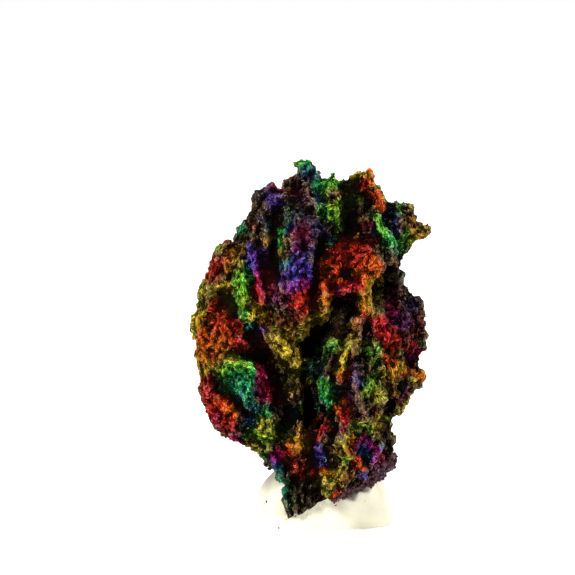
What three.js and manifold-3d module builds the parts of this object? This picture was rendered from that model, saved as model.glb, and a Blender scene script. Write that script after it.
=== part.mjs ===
// Goethite specimen: a spongy, iridescent mass of iron ore grown as one piece, standing in a lump of
// mounting putty. Millimetres, +Z up. The origin is on the table, under the middle of the mass, and
// the showy face looks towards -Y.
//
// The mass is a crowd of lobes (tufts, leaves, ridges and knobs of fused fibres) that all grow out of
// one heart. Each lobe is a rough, blunt ellipsoid laid along its own line of growth. All of them are
// joined to one closed solid, and pits and a see-through hole are cut into it.

import * as THREE from 'three';
import { mergeVertices } from 'three/addons/utils/BufferGeometryUtils.js';
import { ImprovedNoise } from 'three/addons/math/ImprovedNoise.js';
import Module from 'manifold-3d';

// ---------------------------------------------------------------- driving dimensions (mm)

const FACET = 4.2;             // edge length that the facets of a lobe aim at
const LUMP_SIZE = 4.5;        // spacing of the lumps on a lobe
const STRETCH = 1.5;          // lumps are this much taller than wide, as the fibres stand upright
const ROUGHNESS = 0.42;       // height of the lumps, as a share of a lobe's half size
const FULLNESS = 0.78;        // 1 gives an ellipsoid, less gives blunter ends and edges
const TAPER = 0.2;            // a lobe's tip is narrower than its middle by this share
const GAP = 0.3;              // clearance between the mass and its putty

const PUTTY = {
  centre: [3.5, 1],           // middle of the lump on the table
  width: 23.5,
  depth: 19.5,
  height: 9.6,
  turn: 10,                   // degrees about +Z
  corner: 5,                  // 2 makes the plan an oval, more makes it squarer
  lean: 0.13,                 // the sides lean in by this share at the top
  dome: 0.12,                 // and the top falls by this share at its edge
  dents: 0.04,                // depth of finger dents, as a share of the lump's size
};

// ---------------------------------------------------------------- the lobes, region by region
// Each row: name, root [x, y, z], tip [x, y, z], width across the growth, thickness front to back.

const HEART = [
  ['heart', [0.5, 3, 10], [-0.5, 3, 62], 23, 16],
  ['left heart', [-7, 2, 16], [-12, 1, 52], 14, 14],
  ['right heart', [8, 2, 14], [14, 1, 47], 13, 14],
  ['crown heart', [0, 0, 42], [1.5, 1, 66.5], 16, 14],
  ['foot heart', [1.5, -2, 18], [-0.5, -3.5, 3], 11.5, 13],
];

const CROWN = [
  ['top knob', [-1, 0, 60], [-0.5, 0.5, 71.6], 4.4, 5.5],
  ['top nub', [-0.6, 0.3, 67], [-3.8, 0.4, 70.6], 2.6, 3.4],
  ['back crest', [3.8, 3, 58], [3.6, 3, 67.6], 6.8, 6],
  ['slab head', [-1, -7, 56], [-1, -4, 68], 6.8, 9],
  ['purple slab', [-1, -9, 62], [-2.5, -12.5, 41.5], 7, 9],
  ['slab lip', [-2, -14, 49.5], [-1.5, -13.5, 41], 4.5, 5.5],
  ['green lobe', [4.2, -2, 68.5], [4.5, -8, 53], 6.2, 8],
  ['teal edge', [-5, -6, 63], [-5.5, -12, 41], 2.8, 6],
  ['violet crest', [-5.4, -4, 64], [-10, -7, 57], 3.4, 6],
  ['grey knuckle', [-5.5, -6, 62], [-7, -9.5, 48], 3.6, 6],
  ['dark shoulder', [-7, 1, 67], [-10.6, 0, 56], 5.4, 8],
  ['shoulder tip', [-9, 1, 60], [-10.6, 1, 65.6], 2.4, 4],
  ['teal shoulder', [-9.5, 2, 60], [-14, 0, 52], 4.6, 8],
  ['magenta ridge', [-10.5, -6.5, 60.5], [-8.5, -12, 44], 3, 6],
];

const SPIKES = [
  ['spike', [9.6, -1, 70.2], [10.8, -5, 57], 5, 6],
  ['spike ridge', [10.6, -3, 69.6], [13.4, -6, 60.5], 2.8, 5.5],
  ['hollow lump', [10, -4, 64], [9, -7, 54], 4.6, 7],
  ['green rim', [12.2, -8, 62.5], [15, -8.5, 51], 3.2, 6],
  ['fin', [16, -2, 63.4], [16, -3, 50], 6.4, 8],
  ['dark hollow', [12, 2, 64], [12.5, 1, 50], 6, 9],
  ['horn root', [17, -1, 57], [20.8, -1, 57.5], 5, 7],
  ['horn brow', [17.5, -1, 57.5], [19.8, -1, 62], 2.6, 5],
  ['horn tip', [19.2, -1, 56], [22.8, -1, 58], 2.4, 4],
  ['horn chin', [17.5, -1.5, 57.5], [19.6, -1.5, 53.6], 2.8, 5],
];

const CUSHION = [
  ['cushion left', [5, -9.5, 57], [4.2, -12.5, 47], 4.8, 8],
  ['cushion middle', [8.4, -9.5, 58.6], [5.6, -12.5, 46], 5.6, 9],
  ['cushion right', [12.2, -9.5, 57.4], [8.6, -12.5, 47.6], 5, 8],
  ['cushion lip', [11, -12.5, 50.5], [4.5, -13.5, 47], 3, 6],
  ['cushion tail', [2.5, -14, 50], [2, -12, 38.5], 2.4, 5],
];

const RIGHT_WING = [
  ['tan ridge', [9, -11, 48.5], [9.5, -12, 40], 2.6, 6],
  ['ridge fall', [9.5, -12, 43], [7.5, -14.5, 31], 2.8, 6],
  ['ridge foot', [8, -13.5, 36], [11, -12, 21], 4.2, 7],
  ['teal leaf', [5.5, -11, 39], [2, -14, 23], 6.2, 7],
  ['lime edge', [7, -12.5, 39.5], [5.5, -15, 28], 2.4, 5],
  ['grey flank', [11, -7, 43.5], [11.5, -11, 24], 6.2, 9],
  ['olive pillow', [12, -10.5, 30.5], [11.5, -11.5, 22], 5, 8],
  ['neck', [15, -1, 54], [15.5, -2, 43], 4.4, 9],
  ['dusk flank', [15.5, -3, 46], [15, -6, 34], 7, 10],
  ['ember flank', [14.5, -7, 41], [16, -8, 28], 5.4, 8],
  ['outer dusk', [19.2, 0.5, 45], [19.7, -0.5, 29.6], 5.2, 11],
  ['ember web', [17.4, -2, 43], [18, -4.5, 31], 4.6, 9],
  ['right knob', [16.8, -3, 28.8], [22.2, -3, 29.4], 4.2, 7],
  ['lower wing', [18.2, -3, 31.4], [14.8, -5, 20], 5.8, 8],
];

const SKIRT = [
  ['tan tongue', [6, -12, 27], [5.5, -11.5, 5.5], 4.6, 8],
  ['red tongue', [2.5, -11, 24], [2.5, -12.5, 11], 4, 7],
  ['tongue toe', [2.5, -13, 14.5], [3.8, -12, 6], 4, 7],
  ['lime knob', [6.5, -14, 19.5], [7, -13.5, 12.5], 2.8, 5],
  ['rainbow flank', [10, -9, 24], [11, -9.5, 9.6], 7.8, 9],
  ['orange fin', [8, -12, 17], [9.2, -11.5, 9], 3, 5],
  ['dark knob', [13, -4, 18.5], [16, -4, 15.8], 3.8, 7],
  ['pink knob', [13.6, -5, 16], [14.6, -5, 10], 4, 8],
  ['druse right', [15.6, -4, 12.6], [10.5, -6, 8], 3.2, 7],
  ['druse left', [12.5, -6, 8.8], [4.5, -8.5, 5.4], 3.2, 7],
];

const FOOT = [
  ['teal foot', [-6, -8, 16], [-4.5, -9, 4], 4.4, 8],
  ['left bar', [-4.3, -8.5, 12], [-3.9, -8.2, 1.3], 3.4, 6.5],
  ['middle bar', [-2, -8.5, 12], [-1.7, -8.2, 1.2], 3.2, 6.5],
  ['right bar', [0.5, -8, 12], [0.2, -6.5, 2.4], 3, 6],
  ['foot web', [2.5, -5, 11], [2.5, -5, 4], 5, 7],
  ['pink thread', [-7, -9, 18], [-6, -9.5, 10], 2, 5],
  ['gold tongue', [-2, -7, 22], [-2.5, -10, 10.5], 3.6, 7],
];

const CLEFT = [
  ['olive leaf', [-10.5, -9, 44], [-1, -9.5, 31], 5.6, 7],
  ['gold bud', [-10.5, -10, 40], [-10.5, -10, 45], 2.8, 5],
  ['yellow crest', [-8, -11, 40], [-2, -11.5, 32], 2.8, 5],
  ['brown bridge', [-7.5, -9, 44], [0.5, -10.5, 38], 5.5, 7],
  ['deep lobe', [-3.5, -4, 32], [-3.5, -6, 20], 5.6, 8],
  ['red rib', [-9.5, -7, 34], [-8.5, -8, 24], 3, 6],
  ['dusk rib', [-10, -8, 41], [-10, -7, 32], 3, 6],
];

const LEFT_WING = [
  ['upper wing left', [-15.2, -2.6, 55], [-16.6, -5.6, 47.6], 4.6, 7],
  ['upper wing right', [-12.4, -3.4, 55.8], [-13.4, -7, 46.6], 5, 8],
  ['lime bud', [-15.5, -3, 51], [-17.6, -3, 54.8], 3, 5],
  ['red shoulder', [-16.5, -2, 53], [-18, -3, 45], 4.6, 8],
  ['green ridge', [-12.8, -8, 53], [-12.3, -10.5, 40.5], 2.8, 7],
  ['gold rib', [-15, -6, 53], [-16, -8, 45], 2.8, 6],
  ['outer rib', [-19.2, 0, 49], [-20.6, -1, 42], 3.8, 8],
  ['edge wing', [-19.8, 0, 44], [-20.8, -1, 33.5], 4.8, 9],
  ['fox left', [-18, -4.5, 46], [-18.6, -6.5, 31.5], 5, 9],
  ['fox middle', [-15.2, -6.5, 45], [-15.8, -8.5, 31], 5.2, 9],
  ['fox right', [-13, -7.5, 42], [-13.6, -9, 33.6], 4, 7],
  ['wing web', [-16.4, -3.5, 51], [-16.6, -5.5, 42], 4.4, 7],
  ['edge cushion', [-19.2, -2, 37.5], [-19.6, -3, 26.5], 5, 10],
  ['teal left', [-16.4, -8, 34.6], [-13, -10, 25], 4, 7],
  ['teal middle', [-13.4, -9, 35], [-11.6, -10.6, 22.6], 4.6, 8],
  ['teal right', [-11, -8.8, 33.4], [-10.6, -10, 24], 3.6, 7],
  ['red cushion', [-18.2, -4, 30.5], [-14, -6, 16.8], 6.4, 11],
  ['amber rim', [-17.2, -7, 28], [-13, -9.5, 20], 3, 6],
  ['green knob', [-8.5, -8, 26], [-8, -9, 15], 5.2, 8],
  ['lime hem', [-12, -5, 21], [-9.4, -5, 13.6], 3.4, 8],
  ['hem tip', [-10.5, -5, 17.4], [-7.5, -6, 12.2], 3, 6],
];

const BACK = [
  ['back slab', [-3, 7, 66], [-2, 11, 46], 8, 8],
  ['back fin', [7, 6, 64], [8, 10, 49], 7, 8],
  ['back shoulder', [-9, 5, 60], [-12, 9, 45], 7, 8],
  ['left tuft', [-14, 4, 48], [-16, 8, 33], 8, 9],
  ['left skirt', [-14, 4, 33], [-10, 8, 18], 8, 9],
  ['middle leaf', [-5, 9, 47], [-6, 14, 29], 9, 8],
  ['middle tuft', [4, 9, 50], [4, 14.4, 34], 8, 8],
  ['right tuft', [13, 5, 50], [14, 9, 34], 8, 9],
  ['right skirt', [13, 5, 35], [11.6, 8, 19], 8, 8],
  ['low leaf', [4, 8, 34], [3, 13, 17], 9, 8],
  ['left toe', [-3.5, 5, 22], [-2, 7, 8], 7.5, 9],
  ['right toe', [5, 5, 20], [4, 7, 8], 7.5, 8],
];

// Each row: name, centre [x, y, z], half sizes [x, y, z].
const PITS = [
  ['cave under the cushion', [6, -13, 42.5], [3, 5, 3.3]],
  ['wing pit', [-15.2, -10.5, 45], [1.8, 3.5, 1.7]],
  ['slab pit', [-2, -17.5, 51.5], [1.1, 2.5, 1.4]],
  ['crown cave', [8, -9, 60.5], [1.7, 4, 4]],
  ['tongue slot', [4.2, -16, 20], [0.9, 3.5, 2.1]],
  ['ember slot', [17.2, -11, 34], [0.9, 3, 1.8]],
  ['wing cleft', [14.6, -10.5, 26], [1.1, 4, 3.1]],
  ['see-through hole', [10, -8, 10.6], [0.9, 7, 1.5]],
];

// ---------------------------------------------------------------- solids

const wasm = await Module();
wasm.setup();
const noise = new ImprovedNoise();

/** A manifold solid from a closed three.js geometry. */
function solid(geometry) {
  const shared = geometry.clone();
  shared.deleteAttribute('normal');
  shared.deleteAttribute('uv');
  const welded = mergeVertices(shared, 1e-5);
  return new wasm.Manifold(new wasm.Mesh({
    numProp: 3,
    vertProperties: new Float32Array(welded.attributes.position.array),
    triVerts: new Uint32Array(welded.index.array),
  }));
}

/** A three.js geometry from a manifold solid. */
function geometryOf(manifold) {
  const mesh = manifold.getMesh();
  const geometry = new THREE.BufferGeometry();
  geometry.setAttribute('position', new THREE.BufferAttribute(mesh.vertProperties, 3));
  geometry.setIndex(new THREE.BufferAttribute(mesh.triVerts, 1));
  geometry.computeVertexNormals();
  return geometry;
}

/** The largest connected body of a solid, without any pocket closed inside it. */
function largest(whole) {
  return whole.decompose().reduce((best, body) => (body.volume() > best.volume() ? body : best));
}

/** Lumps of two sizes, about -1 to 1, taller than they are wide. */
function lumps(point) {
  const x = point.x / LUMP_SIZE;
  const y = point.y / LUMP_SIZE;
  const z = point.z / LUMP_SIZE / STRETCH;
  return noise.noise(x, y, z) + 0.6 * noise.noise(2.1 * x + 9, 2.1 * y + 4, 2.1 * z + 7);
}

/** One lobe. Its half sizes grow by `extra`, which makes the tool that clears room around it. */
function lobe([, root, tip, width, thickness], extra = 0) {
  const from = new THREE.Vector3(...root);
  const to = new THREE.Vector3(...tip);
  const middle = from.clone().add(to).multiplyScalar(0.5);
  const along = to.clone().sub(from);
  const half = [along.length() / 2, width / 2, thickness / 2];
  along.normalize();
  const front = new THREE.Vector3(middle.x * 0.02, middle.y < 3 ? -1 : 1, 0);
  const side = front.cross(along).normalize();
  const axes = [along, side, along.clone().cross(side)];

  const radius = (half[0] + half[1] + half[2]) / 3;
  const facets = (4 * Math.PI * radius ** 2) / (0.43 * FACET ** 2);
  const detail = Math.max(0, Math.round(Math.sqrt(facets / 20)) - 1);
  const geometry = new THREE.IcosahedronGeometry(1, detail);
  const position = geometry.attributes.position;
  const unit = new THREE.Vector3();
  for (let i = 0; i < position.count; i++) {
    unit.fromBufferAttribute(position, i);
    const blunt = unit.toArray().map((c) => Math.sign(c) * Math.abs(c) ** FULLNESS);
    const slim = 1 - TAPER * blunt[0];
    const shape = [blunt[0], blunt[1] * slim, blunt[2] * slim];
    const place = (swell, grow) => shape.reduce(
      (point, c, axis) => point.addScaledVector(axes[axis], swell * c * (half[axis] + grow)),
      middle.clone(),
    );
    const swell = 1 + ROUGHNESS * lumps(place(1, 0));
    position.setXYZ(i, ...place(swell, extra));
  }
  return solid(geometry);
}

/** A pit: an oval that is cut away. */
function pit([, centre, half]) {
  const geometry = new THREE.IcosahedronGeometry(1, 1);
  geometry.scale(...half);
  geometry.translate(...centre);
  return solid(geometry);
}

// ---------------------------------------------------------------- the mass

const LOBES = [
  ...HEART, ...CROWN, ...SPIKES, ...CUSHION, ...RIGHT_WING,
  ...SKIRT, ...FOOT, ...CLEFT, ...LEFT_WING, ...BACK,
];
const grown = wasm.Manifold.union(LOBES.map((row) => lobe(row)));
const mass = largest(grown.subtract(wasm.Manifold.union(PITS.map(pit))));

// ---------------------------------------------------------------- the putty

/** Hand-pressed lump: a block with a flat bottom, soft corners, and sides that lean in to a domed top. */
function puttyLump() {
  const { centre, width, depth, height, turn, corner, lean, dome, dents } = PUTTY;
  const geometry = new THREE.BoxGeometry(width, depth, height, 8, 7, 4);
  const position = geometry.attributes.position;
  const point = new THREE.Vector3();
  for (let i = 0; i < position.count; i++) {
    point.fromBufferAttribute(position, i);
    const across = Math.abs(point.x) / (width / 2);
    const back = Math.abs(point.y) / (depth / 2);
    const edge = Math.max(across, back);
    const up = point.z / height + 0.5;
    const dent = dents * noise.noise(point.x / 5, point.y / 5, point.z / 4);
    const round = edge > 0 ? edge / (across ** corner + back ** corner) ** (1 / corner) : 1;
    const reach = round * (1 - lean * up ** 3 + dent);
    const top = height * (1 - dome * edge ** 3 + dent);
    position.setXYZ(i, point.x * reach, point.y * reach, up * top);
  }
  geometry.rotateZ(THREE.MathUtils.degToRad(turn));
  geometry.translate(...centre, 0);
  return solid(geometry);
}

const room = wasm.Manifold.union(LOBES.map((row) => lobe(row, GAP)));
const putty = largest(puttyLump().subtract(room));

// ---------------------------------------------------------------- the scene graph

/** A named mesh with its own finish. */
function piece(name, manifold, colour, roughness, metalness) {
  const material = new THREE.MeshStandardMaterial({ color: colour, roughness, metalness });
  const mesh = new THREE.Mesh(geometryOf(manifold), material);
  mesh.name = name;
  return mesh;
}

const specimen = new THREE.Group();
specimen.name = 'goethite_specimen';
specimen.add(piece('goethite', mass, 0x3d2f2a, 0.45, 0.35));
specimen.add(piece('putty', putty, 0xe9e4d4, 0.7, 0));

export default specimen;
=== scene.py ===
# %% [markdown]
# # An iridescent goethite, stood up in putty
#
# Goethite is an iron oxide. This piece grew as a spongy mass of upright lobes with deep clefts
# between them, and its skin is a felt of needles about a millimetre long. A tarnish film far
# thinner than a hair lies over the needles. Its thickness sets which colour comes back, so the
# colours follow each other in the order of a soap bubble: gold, red, violet, blue, green, gold.
#
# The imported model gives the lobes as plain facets. It is loaded first, and stays where it is.

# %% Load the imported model
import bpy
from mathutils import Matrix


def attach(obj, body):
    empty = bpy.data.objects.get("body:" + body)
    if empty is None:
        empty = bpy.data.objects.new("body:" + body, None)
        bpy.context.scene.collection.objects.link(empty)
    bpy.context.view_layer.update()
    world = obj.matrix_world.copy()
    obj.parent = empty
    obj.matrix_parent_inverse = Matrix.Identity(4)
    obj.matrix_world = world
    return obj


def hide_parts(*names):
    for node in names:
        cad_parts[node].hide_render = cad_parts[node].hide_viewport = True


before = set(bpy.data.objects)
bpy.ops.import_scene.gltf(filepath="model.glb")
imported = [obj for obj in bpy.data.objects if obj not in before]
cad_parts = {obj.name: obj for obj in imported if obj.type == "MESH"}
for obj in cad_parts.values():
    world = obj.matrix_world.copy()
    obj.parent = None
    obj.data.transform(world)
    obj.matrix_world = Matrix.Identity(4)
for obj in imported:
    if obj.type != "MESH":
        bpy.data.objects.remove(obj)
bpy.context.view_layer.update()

# %% [markdown]
# ## Units and arrays
#
# Every length that Blender gets is in metres, so a millimetre has a name of its own. A mesh here
# has tens of thousands of points, and a Python loop over them is slow. NumPy works on all of
# them at once, so each step below reads a mesh into an array, works on it and writes it back.

# %% Read and write a mesh as arrays
import math

import bpy
import numpy as np
from mathutils import Vector
from mathutils.bvhtree import BVHTree

MM = 0.001
# keeps a division or a sign from coming to nothing
TINY = 1e-12


def read(items, name, width, kind=float):
    """One property of many items, such as the places of a mesh's points, as a table."""
    table = np.empty(len(items) * width, dtype=kind)
    items.foreach_get(name, table)
    return table.reshape(-1, width)


def places_of(mesh):
    """Where a mesh's points are."""
    return read(mesh.vertices, "co", 3)


def facings_of(mesh):
    """Which way a mesh's skin faces at each of its points."""
    return read(mesh.vertex_normals, "vector", 3)


def corners(mesh):
    """The three point numbers of each of a mesh's triangles."""
    mesh.calc_loop_triangles()
    return read(mesh.loop_triangles, "vertices", 3, np.int64)


def edge_pairs(mesh):
    """The two point numbers of each of a mesh's edges."""
    return read(mesh.edges, "vertices", 2, np.int64)


def move_to(mesh, places):
    """Puts a mesh's points at new places."""
    mesh.vertices.foreach_set("co", places.ravel())
    mesh.update()


print("the lobes come as", len(corners(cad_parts["goethite"].data)), "triangles")


# %% Averages, arrows and searches
def neighbour_mean(values, edges, rounds=1):
    """Each point's average of its neighbours' values, taken this many times over."""
    count = len(values)
    links = np.bincount(edges.ravel(), minlength=count)
    table = values.reshape(count, -1)
    for _ in range(rounds):
        total = np.zeros_like(table)
        for column in range(table.shape[1]):
            total[:, column] = np.bincount(edges[:, 0], table[edges[:, 1], column], count)
            total[:, column] += np.bincount(edges[:, 1], table[edges[:, 0], column], count)
        table = total / np.maximum(links, 1)[:, None]
    return table.reshape(values.shape)


def unit(arrows):
    """Each arrow at length one."""
    return arrows / np.maximum(np.linalg.norm(arrows, axis=1, keepdims=True), TINY)


def tree_of(places, faces):
    """A search tree that finds where a ray meets some triangles, or their nearest place."""
    return BVHTree.FromPolygons(places.tolist(), faces.tolist(), all_triangles=True)


# %% [markdown]
# ## Natural roughness from noise
#
# Grown stone is rough at every scale. Sculpting it by hand would take days, so four kinds of
# noise do it: smooth lumps, sharp crests, round pores, and webs of cords. Each takes places in
# millimetres, a size and a seed, and gives one height for each place. A layer is one of them
# at a strength of its own. The tables of random numbers have fixed seeds, so every run grows the
# same stone.

# %% Lumps and crests
TABLE = 48
SEED_STEP = np.array([17.31, 5.77, 11.13])
SLOPES = np.random.default_rng(11).normal(size=(TABLE, TABLE, TABLE, 3))
SLOPES /= np.linalg.norm(SLOPES, axis=3, keepdims=True)
# brings the lumps to heights of about 1
FULL_HEIGHT = 1.7


def celled(places, size, seed):
    """Each place in steps of this size, and the corner of the cell that it lies in."""
    spot = places / size + seed * SEED_STEP
    return spot, np.floor(spot).astype(int)


def lumps(places, size, seed):
    """Smooth heights from about -1 to 1, in lumps of this size."""
    spot, corner = celled(places, size, seed)
    part = spot - corner
    # this curve starts and ends level, so no cell's edge shows
    fade = part ** 3 * (part * (part * 6 - 15) + 10)
    height = np.zeros(len(places))
    for step in np.ndindex(2, 2, 2):
        slope = SLOPES[tuple(((corner + step) % TABLE).T)]
        share = np.prod(np.where(step, fade, 1 - fade), axis=1)
        height += share * np.sum(slope * (part - step), axis=1)
    return height * FULL_HEIGHT


def crests(places, size, seed):
    """Heights from 0 to 1, with sharp crests and broad hollows."""
    return (1 - np.minimum(np.abs(lumps(places, size, seed)), 1)) ** 2


def drift(places, size, seed):
    """A smooth random arrow at each place."""
    return np.stack([lumps(places, size, seed + axis) for axis in range(3)], axis=1)


def layer(noise, places, recipe, level=0):
    """Noise above a level, by a recipe: how strong it is, its size in millimetres, its seed."""
    strength, size, seed = recipe
    return strength * (noise(places, size, seed) - level)


print("the noise repeats after", TABLE, "times its size")

# %% Pores and webs
SPOTS = np.random.default_rng(12).random(size=(TABLE, TABLE, TABLE, 3))
# how steep a pore's wall and a cord's side are
PORE_WALL = 1.6
CORD_WALL = 1.9


def two_nearest(places, size, seed):
    """How far each place is from the middles of the nearest cell and of the next one."""
    spot, corner = celled(places, size, seed)
    nearest = np.full(len(places), np.inf)
    second = np.full(len(places), np.inf)
    for step in np.ndindex(3, 3, 3):
        cell = corner + step - 1
        middle = cell + SPOTS[tuple((cell % TABLE).T)]
        gap = np.linalg.norm(spot - middle, axis=1)
        second = np.minimum(second, np.maximum(nearest, gap))
        nearest = np.minimum(nearest, gap)
    return nearest, second


def pores(places, size, seed):
    """Heights from 0 in the middle of a pore to 1 between the pores."""
    nearest, _ = two_nearest(places, size, seed)
    return np.clip(nearest * PORE_WALL, 0, 1) ** 2


def webs(places, size, seed):
    """Heights from 0 in the middle of a cell to 1 on the cords between cells."""
    nearest, second = two_nearest(places, size, seed)
    return 1 - np.clip((second - nearest) * CORD_WALL, 0, 1)


# %% [markdown]
# ## A fine skin over the lobes
#
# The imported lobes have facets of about 4 mm. The real skin has folds of 1 to 5 mm, and those
# must be in the mesh, since a bump in the material would leave the outline smooth. Subdividing
# the facets would keep their creases, and the joined lobes have thin triangles. A voxel remesh
# wraps everything in one even grid, and a few rounds of smoothing take the creases away. Then
# each point moves along its own normal.

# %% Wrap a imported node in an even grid
GRID_EASE = 0.5


def grid_skin(name, source, grid, rounds):
    """A new object: a mesh's form in an even grid, smoothed by this many rounds."""
    skin = bpy.data.objects.new(name, source.copy())
    bpy.context.collection.objects.link(skin)
    wrap = skin.modifiers.new("wrap", "REMESH")
    wrap.mode = "VOXEL"
    wrap.voxel_size = grid
    ease = skin.modifiers.new("ease", "SMOOTH")
    ease.factor = GRID_EASE
    ease.iterations = rounds
    ready = skin.evaluated_get(bpy.context.evaluated_depsgraph_get())
    mesh = bpy.data.meshes.new_from_object(ready)
    skin.modifiers.clear()
    skin.data = mesh
    mesh.materials.clear()
    mesh.shade_smooth()
    print(name, "has", len(mesh.vertices), "points and", len(corners(mesh)), "triangles")
    return skin


def push(skin, heights):
    """Moves each point of a skin along its normal by a height in metres."""
    mesh = skin.data
    move_to(mesh, places_of(mesh) + facings_of(mesh) * heights[:, None])


# %% [markdown]
# ## The ridges and clefts that make this piece itself
#
# Noise alone gives some goethite, but not this one. Its main ridges and clefts are drawn on the
# plane that faces the viewer, in millimetres across and up from the foot, and dropped on the skin
# along the line of sight. A ridge lifts the skin, a cleft sinks it, and a raised stroke gets a
# painted highlight. A cleft also has a darkness, painted shade, since little light comes back
# out of it. A stroke with a darkness and no height paints shade on a stretch of skin. A ridge has
# a shallow ditch on either side, and broad swellings as high as a full ridge or higher have none.
# Skin that another lobe hides from the front is left alone. Nudges first move whole edges of the
# outline a millimetre or two, and a bank brings the back wall of a cave forward into the light.

# %% Set the plane that faces the viewer
TILT = math.radians(10)
TOWARD = np.array([0, -math.cos(TILT), math.sin(TILT)])
UPWARD = np.array([0, math.sin(TILT), math.cos(TILT)])


def seen_flat(spots):
    """Places as they lie on the plane that faces the viewer: across and up."""
    up = spots[:, 2] * math.cos(TILT) + spots[:, 1] * math.sin(TILT)
    return np.stack([spots[:, 0], up], axis=1)


def in_space(across, up):
    """An arrow that lies in the plane that faces the viewer."""
    return np.array([across, 0, 0]) + up * UPWARD


print("the viewer looks down by", round(math.degrees(TILT)), "degrees")
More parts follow.
